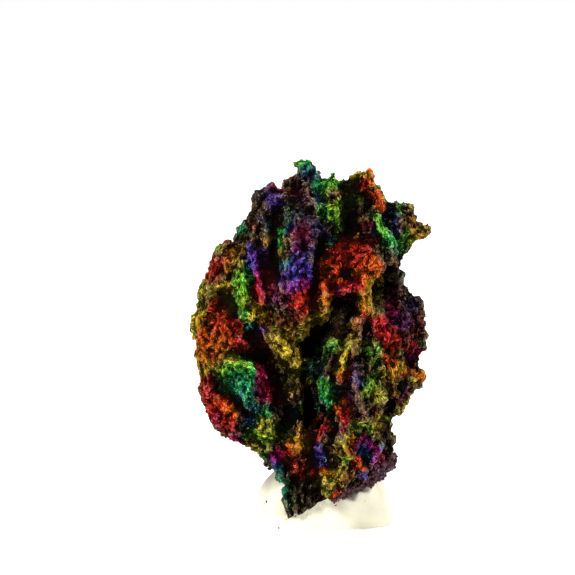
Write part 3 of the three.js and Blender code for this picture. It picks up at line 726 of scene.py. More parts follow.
# name, place (across, up) and reach in millimetres, hue, how vivid from 0 to 1
FILM_PLACES = [
    # the crown and its slab
    ("top knob", (-0.8, 68.8), 2, 0.76, 0.8),
    ("knob root", (-0.6, 67.1), 1.4, 0.56, 0.5),
    ("knob left", (-2.3, 67.5), 1.2, TEAL, 0.4),
    ("knob nub", (-3.5, 68.9), 1, LIME, 0.7),
    ("knob right", (3.1, 67.2), 1, 0.54, 0.45),
    ("slab brow", (-2, 64.5), 2.4, CRIMSON, 0.2),
    ("slab blue", (-2.9, 59.6), 1.8, 0.62, 0.3),
    ("slab dusk", (-0.6, 59.9), 1.6, 0.5, 0.25),
    ("slab maroon top", (-1.2, 57.4), 1.4, 0.38, 0.4),
    ("slab maroon", (-1.8, 55.2), 1.3, 0.3, 0.5),
    ("slab maroon side", (0, 54), 1.4, 0.38, 0.3),
    ("slab maroon low", (-3, 52.6), 1.3, 0.38, 0.4),
    ("slab left edge", (-4.1, 59.3), 1.2, TEAL, 0.35),
    ("slab tan", (-4.6, 53.8), 1, 0.1, 0.45),
    ("thread teal", (-5.9, 54), 0.9, 0.75, 0.75),
    ("thread tan", (-5.8, 51.4), 0.8, 0.07, 0.4),
    ("thread blue", (-5.8, 49.5), 0.9, 0.62, 0.6),
    ("purple slab", (-1.9, 49.9), 1.6, 0.5, 0.8),
    ("slab middle", (-2.9, 47.8), 1.3, 0.53, 0.95),
    ("slab bright", (-0.5, 47.8), 1.2, VIOLET, 0.9),
    ("slab magenta", (-1.5, 45.6), 1.1, 0.38, 0.9),
    ("slab mauve", (-3.2, 45), 1.2, 0.46, 0.6),
    ("slab side", (-5.2, 46.2), 1.3, 0.51, 0.45),
    ("slab tip", (-1.8, 42.8), 1.5, 0.23, 0.95),
    ("slab tip fringe", (-3.3, 42.1), 1.1, 0.27, 0.7),
    ("slab foot", (-5, 41.9), 1.4, 0.4, 0.3),
    ("slab low edge", (-6.4, 43.8), 1.2, CRIMSON, 0.3),
    ("slab right teal", (0.6, 64.4), 1.3, 0.7, 0.55),
    ("slab right blue", (1, 61), 1.2, 0.66, 0.45),
    ("slab right violet", (1.2, 56.9), 1.4, 0.54, 0.45),
    ("slab right low", (0.4, 52), 1.3, 0.52, 0.4),
    ("green lobe", (4, 65.6), 1.8, 0.83, 1),
    ("green lobe brown", (4.3, 62.9), 1, 0.2, 0.25),
    ("green lobe middle", (4.9, 60.2), 1.5, 0.87, 0.9),
    ("green lobe left", (2.6, 63.8), 1.2, GREEN, 0.8),
    ("green lobe left low", (2.7, 59.2), 1.4, GREEN, 0.8),
    ("green lobe foot", (5.1, 57), 1.4, 0.83, 0.5),
    ("green lobe dusk", (2.9, 56), 1.5, VIOLET, 0.2),
    ("green lobe toe", (4, 54.1), 0.8, TEAL, 0.7),
    # the left shoulder and its ridges
    ("violet crest", (-7, 61.6), 1.5, 0.5, 0.95),
    ("crest dusk", (-7.8, 59.9), 1.2, VIOLET, 0.15),
    ("crest tip", (-9.2, 58.7), 1, VIOLET, 0.35),
    ("blue knuckle", (-8.5, 56.6), 1.3, 0.57, 0.4),
    ("dark shoulder", (-9.8, 62.6), 2.8, VIOLET, 0.22),
    ("red bud", (-6.6, 64.2), 1.1, CRIMSON, 0.6),
    ("shoulder low", (-11.3, 59.3), 1.8, VIOLET, 0.12),
    ("grey knuckle", (-5.8, 59.3), 1.4, 0.77, 0.18),
    ("brown knuckle", (-7.8, 54.2), 1.1, 0.1, 0.4),
    ("tan knuckle", (-9.6, 55.2), 0.9, 0.1, 0.35),
    ("teal shoulder", (-13.9, 55.8), 1.8, 0.72, 0.5),
    ("shoulder tan", (-12.4, 54.6), 1, 0.08, 0.3),
    ("brick rim", (-10.8, 56.8), 0.9, 0.28, 0.5),
    ("violet ridge", (-11.4, 52.6), 1, 0.5, 0.8),
    ("magenta ridge", (-10.7, 50.6), 1, 0.46, 0.8),
    ("ridge shade", (-8.9, 51.6), 1.2, 0.48, 0.5),
    ("hollow rose", (-8.2, 50.4), 1.1, MAGENTA, 0.45),
    ("blue bead", (-11.6, 49.4), 0.9, BLUE, 0.65),
    ("ridge middle", (-10, 48.8), 1, MAGENTA, 0.8),
    ("ridge pink", (-8.9, 46.9), 1.2, 0.34, 1),
    ("ridge end", (-9.4, 45), 1.3, 0.3, 0.95),
    ("ridge brown", (-8.2, 43.6), 1.1, 0.3, 0.3),
    # the spike, the fins and the horn
    ("spike top", (8.5, 67), 1.6, 0.95, 0.75),
    ("spike dusk", (7.6, 65), 1.1, 0.97, 0.3),
    ("spike ridge", (10.9, 67.6), 1, 0.13, 0.85),
    ("spike rim", (12, 65.4), 1.1, 0.09, 0.8),
    ("spike red", (10.3, 64.6), 1.2, 0.28, 0.75),
    ("ridge fall", (12.1, 61.9), 1.2, 0.2, 0.8),
    ("ridge fall end", (13.2, 60.2), 1, 0.21, 0.8),
    ("dark hollow", (10, 60.5), 1.6, 0.75, 0.14),
    ("hollow maroon", (7.9, 57.9), 1.4, CRIMSON, 0.25),
    ("rim top", (12.4, 58.8), 0.9, 0.77, 0.7),
    ("rim crimson", (11.1, 56.4), 0.9, CRIMSON, 0.5),
    ("rim blue", (12, 55.4), 0.8, 0.66, 0.5),
    ("rim fall", (13.6, 56), 1.1, 0.8, 0.85),
    ("rim low", (14.7, 54.2), 1, 0.77, 0.7),
    ("rim foot", (15.6, 52.2), 1.1, TEAL, 0.4),
    ("fin blue", (15.6, 59), 1.3, 0.57, 0.45),
    ("fin violet", (15.7, 56), 1.2, 0.53, 0.5),
    ("fin teal", (17.1, 59.8), 1.4, 0.77, 0.45),
    ("fin", (17.1, 54.4), 1.4, 0.82, 0.65),
    ("fin top", (18.9, 61), 1.3, 0.95, 0.25),
    ("horn", (20, 58.3), 1.8, 0.08, 0.35),
    ("horn tip", (22.2, 56), 1.6, 0.03, 0.35),
    # the red cushion and the cave under it
    ("cushion top", (7, 53), 1.8, 0.24, 0.9),
    ("red cushion", (5.3, 50.3), 1.8, 0.25, 0.95),
    ("cushion edge", (3, 49.4), 1.5, 0.19, 1),
    ("cushion middle", (9.4, 50.7), 1.6, 0.22, 0.95),
    ("cushion right", (11, 48.8), 1.6, 0.15, 0.95),
    ("cushion rose", (11.1, 53), 1.1, 0.28, 0.5),
    ("cushion crimson", (8, 46), 1.4, 0.29, 0.85),
    ("cushion left foot", (4, 45.8), 1.2, 0.19, 0.9),
    ("cushion lip", (10.6, 45.6), 1.1, 0.11, 0.85),
    ("pit grey", (6.4, 47.6), 0.9, TEAL, 0.05),
    ("pit streak", (4.8, 44.8), 0.8, MAGENTA, 0.6),
    ("cushion tail", (2.5, 42.7), 1.2, 0.09, 0.6),
    ("tail end", (2.7, 39.8), 1.2, 0.05, 0.55),
    ("cave", (6, 39.5), 2, GREY, 0.05),
    ("cave face", (5.5, 40.8), 1.8, 0.1, 0.3),
    ("cave wall gold", (4.3, 36.9), 1.5, 0.12, 0.3),
    ("tan ridge", (9.6, 42.5), 1.3, 0.09, 0.65),
    ("ridge elbow", (10.3, 40.6), 1, 0.12, 0.6),
    ("ridge turn", (7.9, 38.2), 1.3, 0.08, 0.6),
    ("ridge yellow", (7.7, 36.2), 1, 0.03, 0.6),
    ("ridge fall low", (8.4, 33.8), 1.2, 0.05, 0.2),
    # the leaf and the flank beside it
    ("leaf brow", (4.4, 34.2), 1.4, GREEN, 0.6),
    ("leaf left edge", (1.5, 33), 1.3, 0.77, 0.4),
    ("leaf side", (0.9, 28.8), 1.5, 0.68, 0.4),
    ("leaf inside", (4.2, 31.6), 1, RED, 0.3),
    ("leaf inside low", (4, 28.6), 1, CRIMSON, 0.3),
    ("leaf green", (2.7, 26.6), 1.3, 0.8, 0.9),
    ("leaf dusk", (5, 26), 1.1, 0.65, 0.35),
    ("leaf tip", (1.9, 24), 1.6, 0.72, 0.6),
    ("leaf point", (2, 21.6), 1, 0.72, 0.5),
    ("lime edge top", (6.6, 34.2), 1.2, 0.94, 0.85),
    ("lime edge", (6, 31.5), 1, 0.98, 0.9),
    ("lime edge low", (5.3, 29.8), 0.9, 0.02, 0.8),
    ("edge orange", (6, 28.9), 0.7, 0.15, 0.85),
    ("flank grey top", (10.4, 36.9), 1.4, MAGENTA, 0.12),
    ("green face", (11, 33.2), 1.8, 0.83, 0.4),
    ("flank dusk", (8.8, 30.2), 1.3, VIOLET, 0.25),
    ("flank mauve", (7.4, 26), 1.4, MAGENTA, 0.15),
    ("blue spot", (9.1, 27.3), 0.9, 0.57, 0.45),
    ("green face low", (12.3, 28.9), 1.6, 0.86, 0.35),
    ("olive pillow", (12, 25), 1.8, 0.93, 0.7),
    ("pillow green", (11.2, 26.8), 1.1, 0.86, 0.65),
    ("pillow pit", (11.6, 24.2), 0.7, 0.08, 0.3),
    ("mauve flank", (8.8, 22.6), 1.6, MAGENTA, 0.15),
    ("mauve flank low", (10.4, 20.8), 1.2, CRIMSON, 0.15),
    # the right flank and its wing
    ("olive bank", (12.8, 44.6), 1.5, 0.93, 0.5),
    ("olive bank low", (12.4, 41.6), 1.4, LIME, 0.4),
    ("bank brown", (14.7, 49), 1.4, 0.3, 0.25),
    ("bank maroon", (15.7, 44.5), 1.5, 0.38, 0.4),
    ("neck", (17.3, 46.9), 1.8, 0.66, 0.22),
    ("outer top", (19.3, 42.4), 1.8, VIOLET, 0.3),
    ("red flank top", (15.3, 41.3), 1.6, 0.36, 0.6),
    ("red flank", (13.6, 37.4), 1.5, 0.29, 0.95),
    ("ember flank", (15.2, 35.2), 1.5, 0.24, 1),
    ("flank violet", (17.6, 38.8), 1.7, 0.44, 0.5),
    ("outer dusk", (20.9, 38), 1.8, 0.33, 0.35),
    ("outer maroon", (18.1, 35), 1.3, CRIMSON, 0.35),
    ("outer pink", (19.6, 33.5), 1, 0.31, 0.6),
    ("outer rim", (20.9, 32.4), 0.8, 0.35, 0.6),
    ("outer grey", (22.4, 34.9), 1, GREEN, 0.25),
    ("ember low", (15.2, 31.9), 1.2, 0.18, 0.95),
    ("ember yellow", (17.2, 30), 1.2, 0.08, 0.95),
    ("ember pit", (17.6, 31.6), 0.7, GREY, 0.05),
    ("ember tan", (15.2, 28.5), 1.2, 0.08, 0.55),
    ("right knob", (21.2, 28.5), 1.5, 0.12, 0.8),
    ("knob olive", (19.6, 27.2), 1.1, 0.95, 0.5),
    ("wing middle", (17.5, 26.4), 0.9, 0.71, 0.35),
    ("wing spot", (18.4, 25.1), 0.9, 0.39, 0.55),
    ("wing spot low", (17.2, 23.6), 0.9, 0.36, 0.4),
    ("wing tan side", (16, 25), 1.1, 0.08, 0.3),
    ("wing rim", (19.8, 24.1), 1, 0.98, 0.6),
    ("wing tip", (17.8, 21.4), 1.3, 0.96, 0.55),
    ("wing cleft", (14.6, 22.6), 1.2, GREY, 0.05),
    # the tongues and fins above the arch
    ("tongue top", (5.4, 22.7), 1, 0.17, 0.8),
    ("pink edge", (6.3, 20.9), 1.1, 0.29, 0.8),
    ("pink edge low", (5.9, 18.7), 0.9, 0.32, 0.55),
    ("tongue side", (4.3, 20.3), 1, 0.1, 0.2),
    ("red tongue", (1.7, 18.8), 1.6, RED, 0.8),
    ("tongue left", (0.9, 16.4), 1, 0.27, 0.75),
    ("tongue middle", (1.8, 15.2), 1, 0.57, 0.6),
    ("tongue blue", (2, 12.8), 1.3, 0.55, 0.8),
    ("tongue low", (1.4, 10.2), 0.9, 0.2, 0.95),
    ("tongue orange", (2.8, 10.1), 0.9, 0.1, 1),
    ("tongue toe", (2.8, 8.2), 1.2, 0.94, 0.9),
    ("toe green", (3.6, 6.9), 1, 0.85, 0.45),
    ("toe red", (4.9, 6.1), 1.1, 0.21, 0.8),
    ("tan tongue", (4.2, 14.3), 1.5, 0.1, 0.3),
    ("tan tongue low", (5.9, 9.4), 1.5, 0.06, 0.4),
    ("lime knob top", (6.2, 15), 0.9, 0.97, 0.9),
    ("lime knob", (6.8, 13.2), 1, 0.89, 0.95),
    ("knob red", (7.6, 14.6), 0.8, 0.2, 0.75),
    ("knob gold top", (7.9, 16.7), 0.9, 0.1, 0.7),
    ("flank top", (8.9, 18.7), 1.3, 0.9, 0.75),
    ("flank lime", (11.5, 18.9), 1.2, 0.88, 0.7),
    ("flank yellow", (12.9, 17.2), 1, 0.96, 0.6),
    ("flank lime top", (13.3, 20), 1, 0.95, 0.65),
    ("flank orange", (12.9, 18.6), 0.8, 0.12, 0.65),
    ("flank magenta", (10.2, 17), 1, 0.36, 0.7),
    ("flank magenta low", (11.2, 15.2), 1, 0.37, 0.75),
    ("flank crimson", (8.6, 15.4), 0.8, CRIMSON, 0.65),
    ("flank blue", (9.6, 14.4), 0.9, BLUE, 0.75),
    ("flank blue low", (10.8, 12.6), 1.1, 0.62, 0.5),
    ("flank pink", (12.4, 12.9), 1.1, 0.36, 0.7),
    ("flank rose", (13.8, 12.2), 1.1, 0.3, 0.35),
    ("orange fin", (9.8, 11.3), 0.8, 0.14, 1),
    ("fin red", (8.9, 12), 0.9, 0.22, 0.95),
    ("fin dark", (7.4, 9.4), 0.9, 0.2, 0.5),
    ("mauve knob", (14, 17.6), 0.9, 0.37, 0.45),
    ("dark knob", (15.4, 16.2), 1.4, GREY, 0.1),
    ("tan knob", (15.5, 13.1), 1.3, 0.24, 0.2),
    ("druse right", (13.5, 7.8), 2, VIOLET, 0.45),
    ("druse left", (8, 5.5), 2, VIOLET, 0.4),
    # the foot
    ("pink thread", (-6.7, 13.9), 1, 0.36, 0.7),
    ("thread middle", (-6.9, 12.3), 0.9, 0.46, 0.8),
    ("thread end", (-5.9, 10.6), 1, 0.65, 0.7),
    ("teal foot", (-5.5, 7.6), 2, TEAL, 0.65),
    ("foot low", (-4.5, 3.7), 2, TEAL, 0.45),
    ("foot bars", (-2, 4.2), 2.5, GREEN, 0.15),
    ("foot brown", (-2, 3.7), 2, GOLD, 0.12),
    ("gold tongue top", (-1.7, 18.3), 1.3, 0.1, 0.35),
    ("gold tongue", (-2, 15.2), 1.4, 0.08, 0.9),
    ("gold tongue low", (-2.8, 12.4), 1.4, 0.15, 0.4),
    ("foot ember", (-3, 10), 1.4, 0.21, 0.5),
    ("deep lobe", (-3.5, 25.4), 2.2, 0.06, 0.4),
    # the crest in the middle
    ("olive leaf", (-7.3, 34.8), 1.5, 0, 0.55),
    ("leaf root", (-6.9, 36.3), 1.2, 0.97, 0.55),
    ("crest tan", (-4.6, 35.8), 1.3, 0.06, 0.45),
    ("yellow crest", (-4.7, 33.2), 1.4, 0.03, 1),
    ("crest end", (-2.6, 31.6), 1.3, 0.01, 0.95),
    ("crest olive", (-5.8, 30.9), 1.2, 0.98, 0.45),
    ("gold bud", (-10.4, 40.4), 1.4, 0.06, 0.9),
    ("bud side", (-7.6, 40), 1.4, 0.05, 0.4),
    ("brown bridge", (-4.3, 39.3), 1.6, 0.09, 0.3),
    ("bridge maroon", (-2.3, 39.8), 1.2, 0.25, 0.35),
    ("bridge gold", (-0.3, 38.5), 1.3, 0.05, 0.55),
    ("bridge end", (0, 36.8), 1.2, 0.02, 0.6),
    ("violet spot", (-9.3, 36.9), 1, 0.45, 0.6),
    ("maroon hollow", (-9.6, 33.6), 2, CRIMSON, 0.35),
    ("red rib", (-8.7, 28.7), 1.5, 0.32, 0.95),
    ("red rib low", (-8.4, 25), 1.5, 0.3, 0.85),
    # the left wing
    ("lime bud", (-17.5, 52.4), 1.1, 0.89, 0.95),
    ("wing brow", (-15.8, 54), 1.2, 0.25, 0.35),
    ("upper wing", (-13.6, 53), 1.4, 0.07, 0.5),
    ("shoulder gold", (-15, 51.8), 1.4, 0.09, 0.55),
    ("shoulder pink", (-17.8, 49.8), 1.7, 0.28, 0.6),
    ("gold rib", (-15.3, 49.3), 1.3, 0.06, 0.65),
    ("red shoulder", (-18.7, 47.2), 1.6, 0.2, 0.5),
    ("gold rim", (-16.2, 45.2), 1.3, 0.04, 0.8),
    ("gold rim low", (-17, 44), 1, 0.07, 0.6),
    ("green ridge top", (-13.5, 49.3), 1.2, 0.94, 0.5),
    ("green ridge", (-13, 46.1), 1.4, 0.84, 1),
    ("green ridge side", (-11.8, 47.2), 0.9, 0.77, 0.65),
    ("green ridge low", (-12.4, 42.2), 1.2, 0.88, 0.95),
    ("green ridge end", (-12.6, 39.8), 1.1, 0.8, 0.7),
    ("ridge foot teal", (-11.5, 37.8), 1.1, 0.68, 0.65),
    ("olive edge", (-21, 44.8), 1.4, 0.93, 0.45),
    ("lime edge left", (-19.6, 43.7), 1.1, 0.95, 0.5),
    ("wing pink", (-17.9, 42.1), 1.4, 0.27, 0.6),
    ("edge wing", (-21.8, 39.4), 1.5, 0.04, 0.65),
    ("wing maroon", (-18.3, 39.2), 1.4, 0.22, 0.45),
    ("fox pale", (-20.2, 38), 1.2, 0.11, 0.6),
    ("fox cushion", (-16.4, 37.6), 1.7, 0.2, 0.65),
    ("fox red", (-14.2, 38.2), 1.4, 0.26, 0.65),
    ("fox rose", (-13.6, 34.8), 1.5, 0.27, 0.65),
    ("fox middle", (-15.7, 35.6), 1.6, 0.19, 0.65),
    ("fox orange", (-18.8, 33.3), 2.2, 0.14, 0.65),
    ("edge low", (-21.5, 34), 1.6, 0.13, 0.65),
    ("edge gold", (-21, 29.6), 1.5, 0.07, 0.75),
    ("yellow hem", (-15.2, 32), 1.1, 0.07, 0.9),
    ("teal brow", (-15, 30.3), 1.4, 0.83, 1),
    ("brow right", (-12.5, 30.4), 1.3, 0.84, 0.9),
    ("brow left", (-17.4, 29.2), 1.1, 0.9, 0.75),
    ("teal cushion", (-14.3, 27.4), 1.7, 0.73, 0.6),
    ("cushion bright", (-11.5, 28.4), 1.2, 0.75, 0.9),
    ("cushion side", (-15.6, 26), 1.4, 0.79, 0.65),
    ("cushion low", (-12.3, 24.6), 1.7, 0.71, 0.7),
    ("cushion foot", (-10.7, 21.5), 1.3, 0.65, 0.45),
    ("blue seam", (-11.6, 19.6), 1, 0.59, 0.7),
    ("seam brown", (-13, 20.9), 1, 0.1, 0.1),
    ("ember cushion top", (-20.1, 25.5), 1.5, 0.26, 0.6),
    ("ember cushion brow", (-19.3, 27), 1.2, 0.3, 0.5),
    ("ember rim", (-21.6, 25), 0.9, 0.93, 0.4),
    ("orange stripe top", (-17.4, 23.5), 1.3, 0.18, 1),
    ("orange stripe", (-15.2, 21.7), 1.3, 0.14, 1),
    ("ember cushion", (-18.6, 21.9), 1.5, 0.25, 0.85),
    ("ember cushion low", (-17.7, 19.4), 1.5, 0.32, 0.6),
    ("ember cushion red", (-15.5, 19.6), 1.2, 0.25, 0.9),
    ("cushion toe", (-14, 16.5), 1.6, 0.35, 0.55),
    ("knob brow", (-8.6, 21.6), 1.2, 0.76, 0.6),
    ("lime knob left", (-8.6, 19), 1.5, 0.95, 0.8),
    ("lime knob low", (-8.4, 16.2), 1.4, 0.86, 0.5),
    ("green hem", (-12, 17.3), 1, 0.82, 0.85),
    ("yellow seam", (-10.9, 14.1), 1, 0.98, 0.8),
    ("hem end", (-9.7, 12.9), 1, 0.85, 0.5),
]
print(len(FILM_PLACES), "named places")

# %% Mix the film at each point
# each is how strong, its size in millimetres, its seed
FILM_SWAY = (0.7, 1.8, 50)
BROAD_TURNS = (0.8, 12, 60)
FINE_TURNS = (0.12, 3.5, 61)
VIVID_PATCHES = (0.75, 5, 62)
BLOTCHES = (0.5, 1.3, 63)

# how much the noise weighs next to a named place
BARE_SHARE = 0.12
USUAL_VIVID, LEAST_VIVID = 0.45, 0.05
USUAL_BLOTCH, LEAST_BLOTCH, MOST_BLOTCH = 1.1, 0.3, 1.3
# painted shade in the pores and a painted highlight on the cords: how bright a pore is,
# how much more a cord is, and how fast that fades beside it
PORE_LIGHT, CORD_LIGHT, CORD_SHARPNESS = 0.17, 1.75, 1.6


def film_at(places, sight):
    """The film at each place: an arrow round the colour wheel, as long as it is vivid."""
    spots = places / MM
    spots = spots + layer(drift, spots, FILM_SWAY)
    flat = seen_flat(spots)
    turn = 2 * math.pi * (layer(lumps, spots, BROAD_TURNS) + layer(lumps, spots, FINE_TURNS))
    vivid = np.clip(USUAL_VIVID + layer(lumps, spots, VIVID_PATCHES), LEAST_VIVID, 1)
    across = BARE_SHARE * vivid * np.cos(turn)
    along = BARE_SHARE * vivid * np.sin(turn)
    weights = np.full(len(places), BARE_SHARE)
    for _, middle, reach, hue, strength in FILM_PLACES:
        share = nearness(flat, middle, reach) * sight
        angle = 2 * math.pi * hue
        weights += share
        across += share * strength * math.cos(angle)
        along += share * strength * math.sin(angle)
    blotch = np.clip(USUAL_BLOTCH + layer(lumps, spots, BLOTCHES), LEAST_BLOTCH, MOST_BLOTCH)
    # a mesh keeps arrows of three numbers, so the third is always 1
    return np.stack([across * blotch, along * blotch, weights], axis=1) / weights[:, None]


def corded(cord):
    """How bright a net's cords are next to its pores: a painted highlight and painted shade."""
    return PORE_LIGHT + CORD_LIGHT * cord ** CORD_SHARPNESS


def dress(mesh, film, relief):
    """Keeps two arrows on each of a mesh's points, where a material can read them.

    The film is the colour wheel's arrow. The relief is how open the point is, how high it
    stands, and how bright it is, which the material paints in as light and shade.
    """
    for name, table in (("film", film), ("relief", relief)):
        kept = mesh.attributes.new(name, "FLOAT_VECTOR", "POINT")
        kept.data.foreach_set("vector", table.ravel())


film = film_at(stone_places, seen)
# the relief paints light and shade: dark in clefts and pores, bright on crests and cords
dress(stone.data, film, np.stack([opens, shade, stroke_shade * corded(cords)], axis=1))
print("mean vividness", np.hypot(film[:, 0], film[:, 1]).mean().round(2))

# %% [markdown]
# ## The felt of needles
#
# Close up, the skin is a felt of needles about 0.2 mm thick, with dark gaps between them. They
# mat into a net with pores of about a millimetre, and most lie along its cords. Hair or
# particles would look right but leave no mesh behind, and a bump map has no gaps. So each needle
# is a small closed mesh of its own: two pointed ends, and one or two three-sided rings between
# them. Its root is a random point of the skin, more often where the skin is open, sharp or under
# a cord. It runs along the nearest cord, and its tip stands a little proud. Shorter splinters
# lie less tidily among the long strands. All the needles of a sheet are worked out at once.

# %% Choose the roots
# how the odds of a root grow with openness, crest and cord
OPEN_PULL, LEAST_OPEN = 1.6, 0.42
USUAL_CREST, CREST_PULL, LEAST_CREST, MOST_CREST = 0.9, 0.5, 0.45, 1.4
PORE_PULL, CORD_PULL, CORD_POWER = 0.12, 1.1, 1.5


def random_triangles(weights, count, dice):
    """Random triangles of the stone, more often where they are large and weigh much."""
    sides = stone_places[stone_triangles]
    areas = np.linalg.norm(np.cross(sides[:, 1] - sides[:, 0], sides[:, 2] - sides[:, 0]), axis=1)
    odds = areas * weights
    return stone_triangles[dice.choice(len(odds), count, p=odds / odds.sum())]


def rooted(count, dice):
    """Random roots on the skin: places, normals and point numbers."""
    wanted = np.clip(opens * OPEN_PULL, LEAST_OPEN, 1)
    wanted *= np.clip(USUAL_CREST + CREST_PULL * crest, LEAST_CREST, MOST_CREST)
    wanted *= PORE_PULL + CORD_PULL * cords ** CORD_POWER
    chosen = random_triangles(wanted[stone_triangles].mean(axis=1), count, dice)
    shares = dice.dirichlet((1, 1, 1), count)
    root = np.einsum("nk,nkc->nc", shares, stone_places[chosen])
    normal = unit(np.einsum("nk,nkc->nc", shares, stone_facings[chosen]))
    return root, normal, chosen[:, 0]


# %% Join many small bits in one mesh
RING_SIDES = 3


def spindle_faces(rings):
    """The triangles of one spindle: a tip, some rings and a tip."""
    faces = []
    last = 1 + rings * RING_SIDES
    top = last - RING_SIDES
    for side in range(RING_SIDES):
        following = (side + 1) % RING_SIDES
        faces.append((0, 1 + following, 1 + side))
        for ring in range(rings - 1):
            low = 1 + ring * RING_SIDES
            high = low + RING_SIDES
            faces.append((low + side, low + following, high + following))
            faces.append((low + side, high + following, high + side))
        faces.append((top + side, top + following, last))
    return np.array(faces)


def joined(name, shape, faces):
    """One mesh of many alike bits: their points as (bits, points, 3) and one bit's triangles."""
    count, size = shape.shape[:2]
    numbers = faces[None] + (np.arange(count) * size)[:, None, None]
    mesh = bpy.data.meshes.new(name)
    mesh.vertices.add(count * size)
    mesh.vertices.foreach_set("co", shape.ravel())
    mesh.loops.add(numbers.size)
    mesh.loops.foreach_set("vertex_index", numbers.ravel())
    mesh.polygons.add(numbers.size // 3)
    mesh.polygons.foreach_set("loop_start", np.arange(0, numbers.size, 3))
    mesh.update(calc_edges=True)
    piece = bpy.data.objects.new(name, mesh)
    bpy.context.collection.objects.link(piece)
    print(name, "has", count, "bits and", len(mesh.polygons), "triangles")
    return piece


# %% Bend the needles
# stations are places along a needle from 0 to 1, and length and radius are in millimetres;
# rise is a share of the needle's length, and spread is how far it strays from the comb
STRAND = {
    "stations": (0, 0.3, 0.68, 1),
    "length": 0.85,
    "radius": 0.11,
    "rise": (-0.04, 0.12),
    "spread": 0.25,
}
SPLINTER = {
    "stations": (0, 0.45, 1),
    "length": 0.6,
    "radius": 0.09,
    "rise": (-0.05, 0.2),
    "spread": 0.6,
}
# how much shorter or longer, and thinner or thicker, than its kind a needle may be
LENGTH_RANGE = (0.6, 1.45)
RADIUS_RANGE = (0.7, 1.35)
SWAY = 0.16
CURL = 1.5
TWIST = 2
# the share of a needle that lies behind its root
ROOT_SHARE = 0.45
ROOT_DEPTH = 0.05 * MM


def bent(kind, root, normal, along, dice):
    """The points of one bent needle for each root, and how proud it stands from 0 to 1."""
    count = len(root)
    across = np.cross(normal, along)
    length = kind["length"] * MM * dice.uniform(*LENGTH_RANGE, count)
    radius = kind["radius"] * MM * dice.uniform(*RADIUS_RANGE, count)
    rise = dice.uniform(*kind["rise"], count) * length
    sway = dice.normal(0, SWAY, count) * length
    start = root - along * (length * ROOT_SHARE)[:, None] - normal * ROOT_DEPTH
    rows = []
    for station in kind["stations"]:
        middle = start + along * (length * station)[:, None]
        middle += normal * (rise * station ** CURL)[:, None]
        middle += across * (sway * math.sin(math.pi * station))[:, None]
        if station in (0, 1):
            rows.append(middle)
            continue
        for side in range(RING_SIDES):
            angle = 2 * math.pi * side / RING_SIDES + station * TWIST
            out = normal * math.cos(angle) + across * math.sin(angle)
            rows.append(middle + out * radius[:, None])
    lowest, highest = kind["rise"]
    return np.stack(rows, axis=1), (rise / length - lowest) / (highest - lowest)


# %% Colour and join the needles
# the brightness of needles varies as an exponential of these
BRIGHT_MIDDLE, BRIGHT_SPREAD = -0.08, 0.45
# a painted highlight on proud needles: a needle that lies flat is this bright next to the net
LEAST_PROUD = 0.4


def needles(name, kind, root, normal, point, comb, glint, dice):
    """One mesh with a needle of one kind at each root, combed by an arrow.

    Without a glint the needles are as bright as the net is where they lie: painted shade in its
    pores and a painted highlight on its cords. A glint is a painted highlight of its own.
    """
    along = unit(comb - normal * np.sum(comb * normal, axis=1, keepdims=True))
    shape, proud = bent(kind, root, normal, along, dice)
    count, size = shape.shape[:2]
    rings = kind["stations"][1:-1]
    sheet = joined(name, shape, spindle_faces(len(rings)))
    sheet.data.shade_smooth()

    # a needle's tip is painted brighter than its root: a painted highlight
    height = np.array([0, *np.repeat(rings, RING_SIDES), 1])
    # a random tone, times a painted highlight on proud needles and the strokes' painted shade
    bright = dice.lognormal(BRIGHT_MIDDLE, BRIGHT_SPREAD, count) * (LEAST_PROUD + proud) * stroke_shade[point]
    relief = np.empty(shape.shape)
    relief[:, :, 0] = opens[point][:, None]
    relief[:, :, 1] = (shade[point][:, None] + height) / 2
    relief[:, :, 2] = bright[:, None]
    if glint is None:
        relief[:, :, 2] *= corded(net(shape.reshape(-1, 3) / MM)).reshape(count, size)
    else:
        relief[:, :, 2] *= glint
    dress(sheet.data, np.repeat(film_at(root, seen[point]), size, axis=0), relief.reshape(-1, 3))
    return sheet


# %% Lay four sheets of needles
# a kind of needle and how many of it
SHEETS = [(STRAND, 15000), (STRAND, 15000), (STRAND, 15000), (SPLINTER, 30000)]
FELT_SEED = 100
# in millimetres: how far apart the net is read to find its slope
PROBE = 0.1
# how strong, its size in millimetres, its seed
COMB_SWAY = (0.3, 1.9, 70)
FOOT_TOP = 11 * MM
FOOT_FADE = 4 * MM
UPRIGHT_PULL, FOOT_PULL = 0.1, 2.5


def felt_sheet(name, kind, count, seed):
    """Needles of one kind all over the stone: along the net's cords, and upright in the foot."""
    dice = np.random.default_rng(seed)
    root, normal, point = rooted(count, dice)
    spots = root / MM
    here = net(spots)
    climb = np.stack([net(spots + PROBE * axis) - here for axis in np.eye(3)], axis=1)
    comb = unit(np.cross(normal, climb))
    comb *= np.sign(comb[:, 2:] + TINY)
    upright = UPRIGHT_PULL + FOOT_PULL * np.clip((FOOT_TOP - root[:, 2]) / FOOT_FADE, 0, 1)
    comb += layer(drift, spots, COMB_SWAY) + upright[:, None] * np.array([0, 0, 1])
    comb += kind["spread"] * dice.normal(size=(count, 3))
    return needles(name, kind, root, normal, point, comb, None, dice)


felt = []
for number, (kind, count) in enumerate(SHEETS, 1):
    felt.append(felt_sheet(f"goethite_felt_{number}", kind, count, FELT_SEED + number))

# %% [markdown]
# ## Bright rims
#
# The thin ridges end in rims where the needles lie along the edge, and their shine is a painted
# highlight. The strokes that raised the ridges are followed again. Points along each are dropped
# on the skin, and a needle is laid there in the stroke's own direction.

# %% Lay needles along the ridges
# in millimetres
RIM_STEP = 0.17
RIM_STRAY = 0.16
RIM_SPREAD = 0.25
# a painted highlight: how many times brighter a full ridge's rim needles are painted
RIM_GLINT = 2.4
FAR = 200 * MM


def dropped(across, up, tree):
    """Where the line of sight through a flat place, in millimetres, meets a skin."""
    start = in_space(across, up) * MM + TOWARD * FAR
    return tree.ray_cast(Vector(start), Vector(-TOWARD), 2 * FAR)


